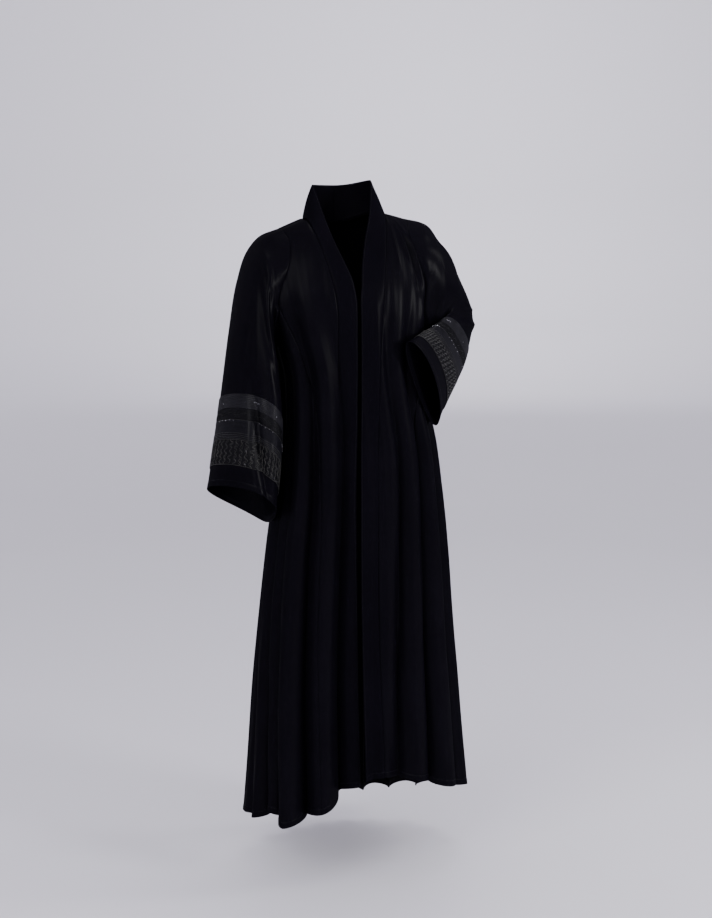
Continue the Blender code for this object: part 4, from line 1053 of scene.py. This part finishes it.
def stones(name, label, spots, radius=STONE_RADIUS):
    """Faceted stones at (distance from the rim, share of the way round)."""
    mesh = bmesh.new()
    for level, share in spots:
        point, facing = on_sleeve(label, level, share, STRIP_LIFT + STONE_LIFT)
        turn = Vector((0, 0, 1)).rotation_difference(Vector(facing)).to_matrix().to_4x4()
        bmesh.ops.create_cone(mesh, cap_ends=True, segments=8, radius1=radius, radius2=radius * STONE_TABLE,
                              depth=radius * STONE_DEPTH, matrix=Matrix.Translation(Vector(point)) @ turn)
    made = made_of(mesh, name, GLASS, smoothed=False)
    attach(made, "root")


for label, side in SIDES:
    for kind, (slot, level, first, groups, count, pitch) in enumerate(STONE_GROUPS):
        spots = [(level + STONE_STAGGER * (number % 2), first + group / groups + number * pitch / TRIM_ROUND)
                 for group in range(groups) for number in range(count)]
        stones("stones_" + str(kind) + "_" + label, label, spots)
    spots = [(LACE_EDGES[0] + height, (number + 0.5) / COLUMNS)
             for number in range(LACE_STONES_EVERY, COLUMNS, LACE_STONES_EVERY)
             for height in LACE_STONE_LEVELS]
    stones("lace_stones_" + label, label, spots, LACE_STONE_RADIUS)


# ---- Stitching ---------------------------------------------------------------------------------------------
# The hem, the cuffs and the free edges of the bands are held by a row of fine machine stitches, in black
# sewing thread a little glossier than the crepe. Each stitch dips into the cloth at its ends.

BLACK_THREAD, BLACK_THREAD_WORN = (0.0040, 0.0038, 0.0052), (0.0090, 0.0085, 0.0115)


def machine_thread(start, place, flat):
    twist = start.node("TexNoise", {"Vector": place, "Scale": 2600.0, "Detail": 2.0})
    return twist.between(0.3, 0.7).mix(BLACK_THREAD, BLACK_THREAD_WORN), 0.40 + twist * 0.1, twist, 0.00005


STITCH = finish("black_machine_thread", machine_thread, Specular_IOR_Level=0.12)
STITCH_PITCH, STITCH_LENGTH, STITCH_RADIUS, STITCH_DIP = 0.0036, 0.0026, 0.00020, 0.0002


def stitches(name, lines):
    """Rows of stitches along lines of points, each stitch three points long."""
    made = []
    for points, normal in lines:
        place = travelled(points)
        starts = np.arange(0.001, place[-1] - STITCH_PITCH, STITCH_PITCH)[:, None]
        steps = starts + STITCH_LENGTH * np.array((0.0, 0.5, 1.0))
        spots, facing = [points_at(steps, place, line) for line in (points, normal)]
        spots = spots + facing * np.array((-STITCH_DIP, STITCH_DIP, -STITCH_DIP))[:, None]
        made.extend((spot, STITCH_RADIUS) for spot in spots)
    cords(name, made, STITCH)


stitches("hem_stitches", hem_lines)
stitches("cuff_stitches", cuff_lines)
stitches("band_stitches", band_lines)


# ---- Floor, camera and light -------------------------------------------------------------------------------
# The cloak hangs over a pale floor of rolled matt paint, which curves up far away into a wall.
# The paint grows paler far out: painted light that brightens the far floor and wall. Large soft lamps
# stand round it, the strongest on the side of the hanging arm.

FLOOR = -1.520
# Pale paint near the middle; far out it is paler still, as painted light standing in for brighter light
# there.
PAINT_NEAR, PAINT_FAR_PAINTED_LIGHT = (0.565, 0.55, 0.605), (0.86, 0.845, 0.90)
# The floor's outline from its middle to the top of the wall: distance and height.
OUTLINE = ((0, 0), (9.0, 0), (10.5, 0.35), (11.6, 1.4), (12.0, 3.0), (12.0, 6.5))


def painted(start, place, flat):
    """Matt pale paint, with a slow change of tone and a fine rolled texture; painted light makes it paler far
    out.
    """
    broad = start.node("TexNoise", {"Vector": place, "Scale": 0.6, "Detail": 2.0})
    rolled = start.node("TexNoise", {"Vector": place, "Scale": 220.0, "Detail": 2.0})
    # Painted light: the paint turns paler from 4 m to 11 m out, for brighter light on the far floor and wall.
    far = start.node("VectorMath", {0: place}, 1, operation="LENGTH").between(4.0, 11.0)
    paint = (far + broad.between(0.3, 0.7) * 0.06).mix(PAINT_NEAR, PAINT_FAR_PAINTED_LIGHT)
    return paint, 0.42 + rolled * 0.06, rolled, 0.00005


mesh = bmesh.new()
line = [mesh.verts.new((x, 0, FLOOR + z)) for x, z in OUTLINE]
edges = [mesh.edges.new(pair) for pair in zip(line, line[1:])]
bmesh.ops.spin(mesh, geom=line + edges, axis=(0, 0, 1), cent=(0, 0, 0), steps=96, angle=2 * np.pi,
               use_merge=True)
bmesh.ops.remove_doubles(mesh, verts=mesh.verts[:], dist=1e-4)
bmesh.ops.recalc_face_normals(mesh, faces=mesh.faces[:])
floor = made_of(mesh, "studio_floor", finish("pale_floor", painted, Specular_IOR_Level=0.4))

lens = bpy.data.cameras.new("camera")
lens.lens, lens.sensor_width, lens.clip_end = 67.33, 36.0, 60.0
DIPPED, TURNED = 9.55, -17   # degrees that the camera looks down, and to its right
camera = linked("camera", lens)
camera.location = (-1.123, -3.785, 0.110)
camera.rotation_euler = np.radians((90 - DIPPED, 0, TURNED))
bpy.context.scene.camera = camera

# Soft lamps, a row for each: its place, what it aims at, its width and height, and its watts.
LAMPS = (
    ((-3.3, -3.0, 1.8), (0.0, 0.0, -0.6), 3.2, 3.4, 185),
    ((3.6, -0.5, 1.6), (0.0, 0.0, -0.4), 0.8, 1.6, 62),
    ((2.6, -2.7, 0.3), (0.2, 0.0, -0.4), 1.0, 1.0, 120),
    ((0.6, 0.6, 3.6), (0.0, 0.0, -0.3), 1.6, 1.2, 50),
    ((-1.6, -5.4, 1.3), (0.0, 0.0, -0.6), 2.4, 2.4, 34),
    ((3.0, 7.6, 1.3), (4.1, 11.3, 0.2), 1.6, 1.6, 75),
)
for number, (place, aim, width, height, watts) in enumerate(LAMPS):
    lamp = bpy.data.lights.new("soft_lamp_" + str(number), "AREA")
    lamp.shape, lamp.size, lamp.size_y, lamp.energy = "RECTANGLE", width, height, watts
    holder = linked(lamp.name, lamp)
    holder.location = place
    holder.rotation_euler = (Vector(aim) - Vector(place)).to_track_quat("-Z", "Y").to_euler()

world = bpy.data.worlds.new("studio")
world.use_nodes = True
sky = world.node_tree.nodes["Background"].inputs
sky["Color"].default_value, sky["Strength"].default_value = (0.80, 0.783, 0.865, 1), 1.12
bpy.context.scene.world = world
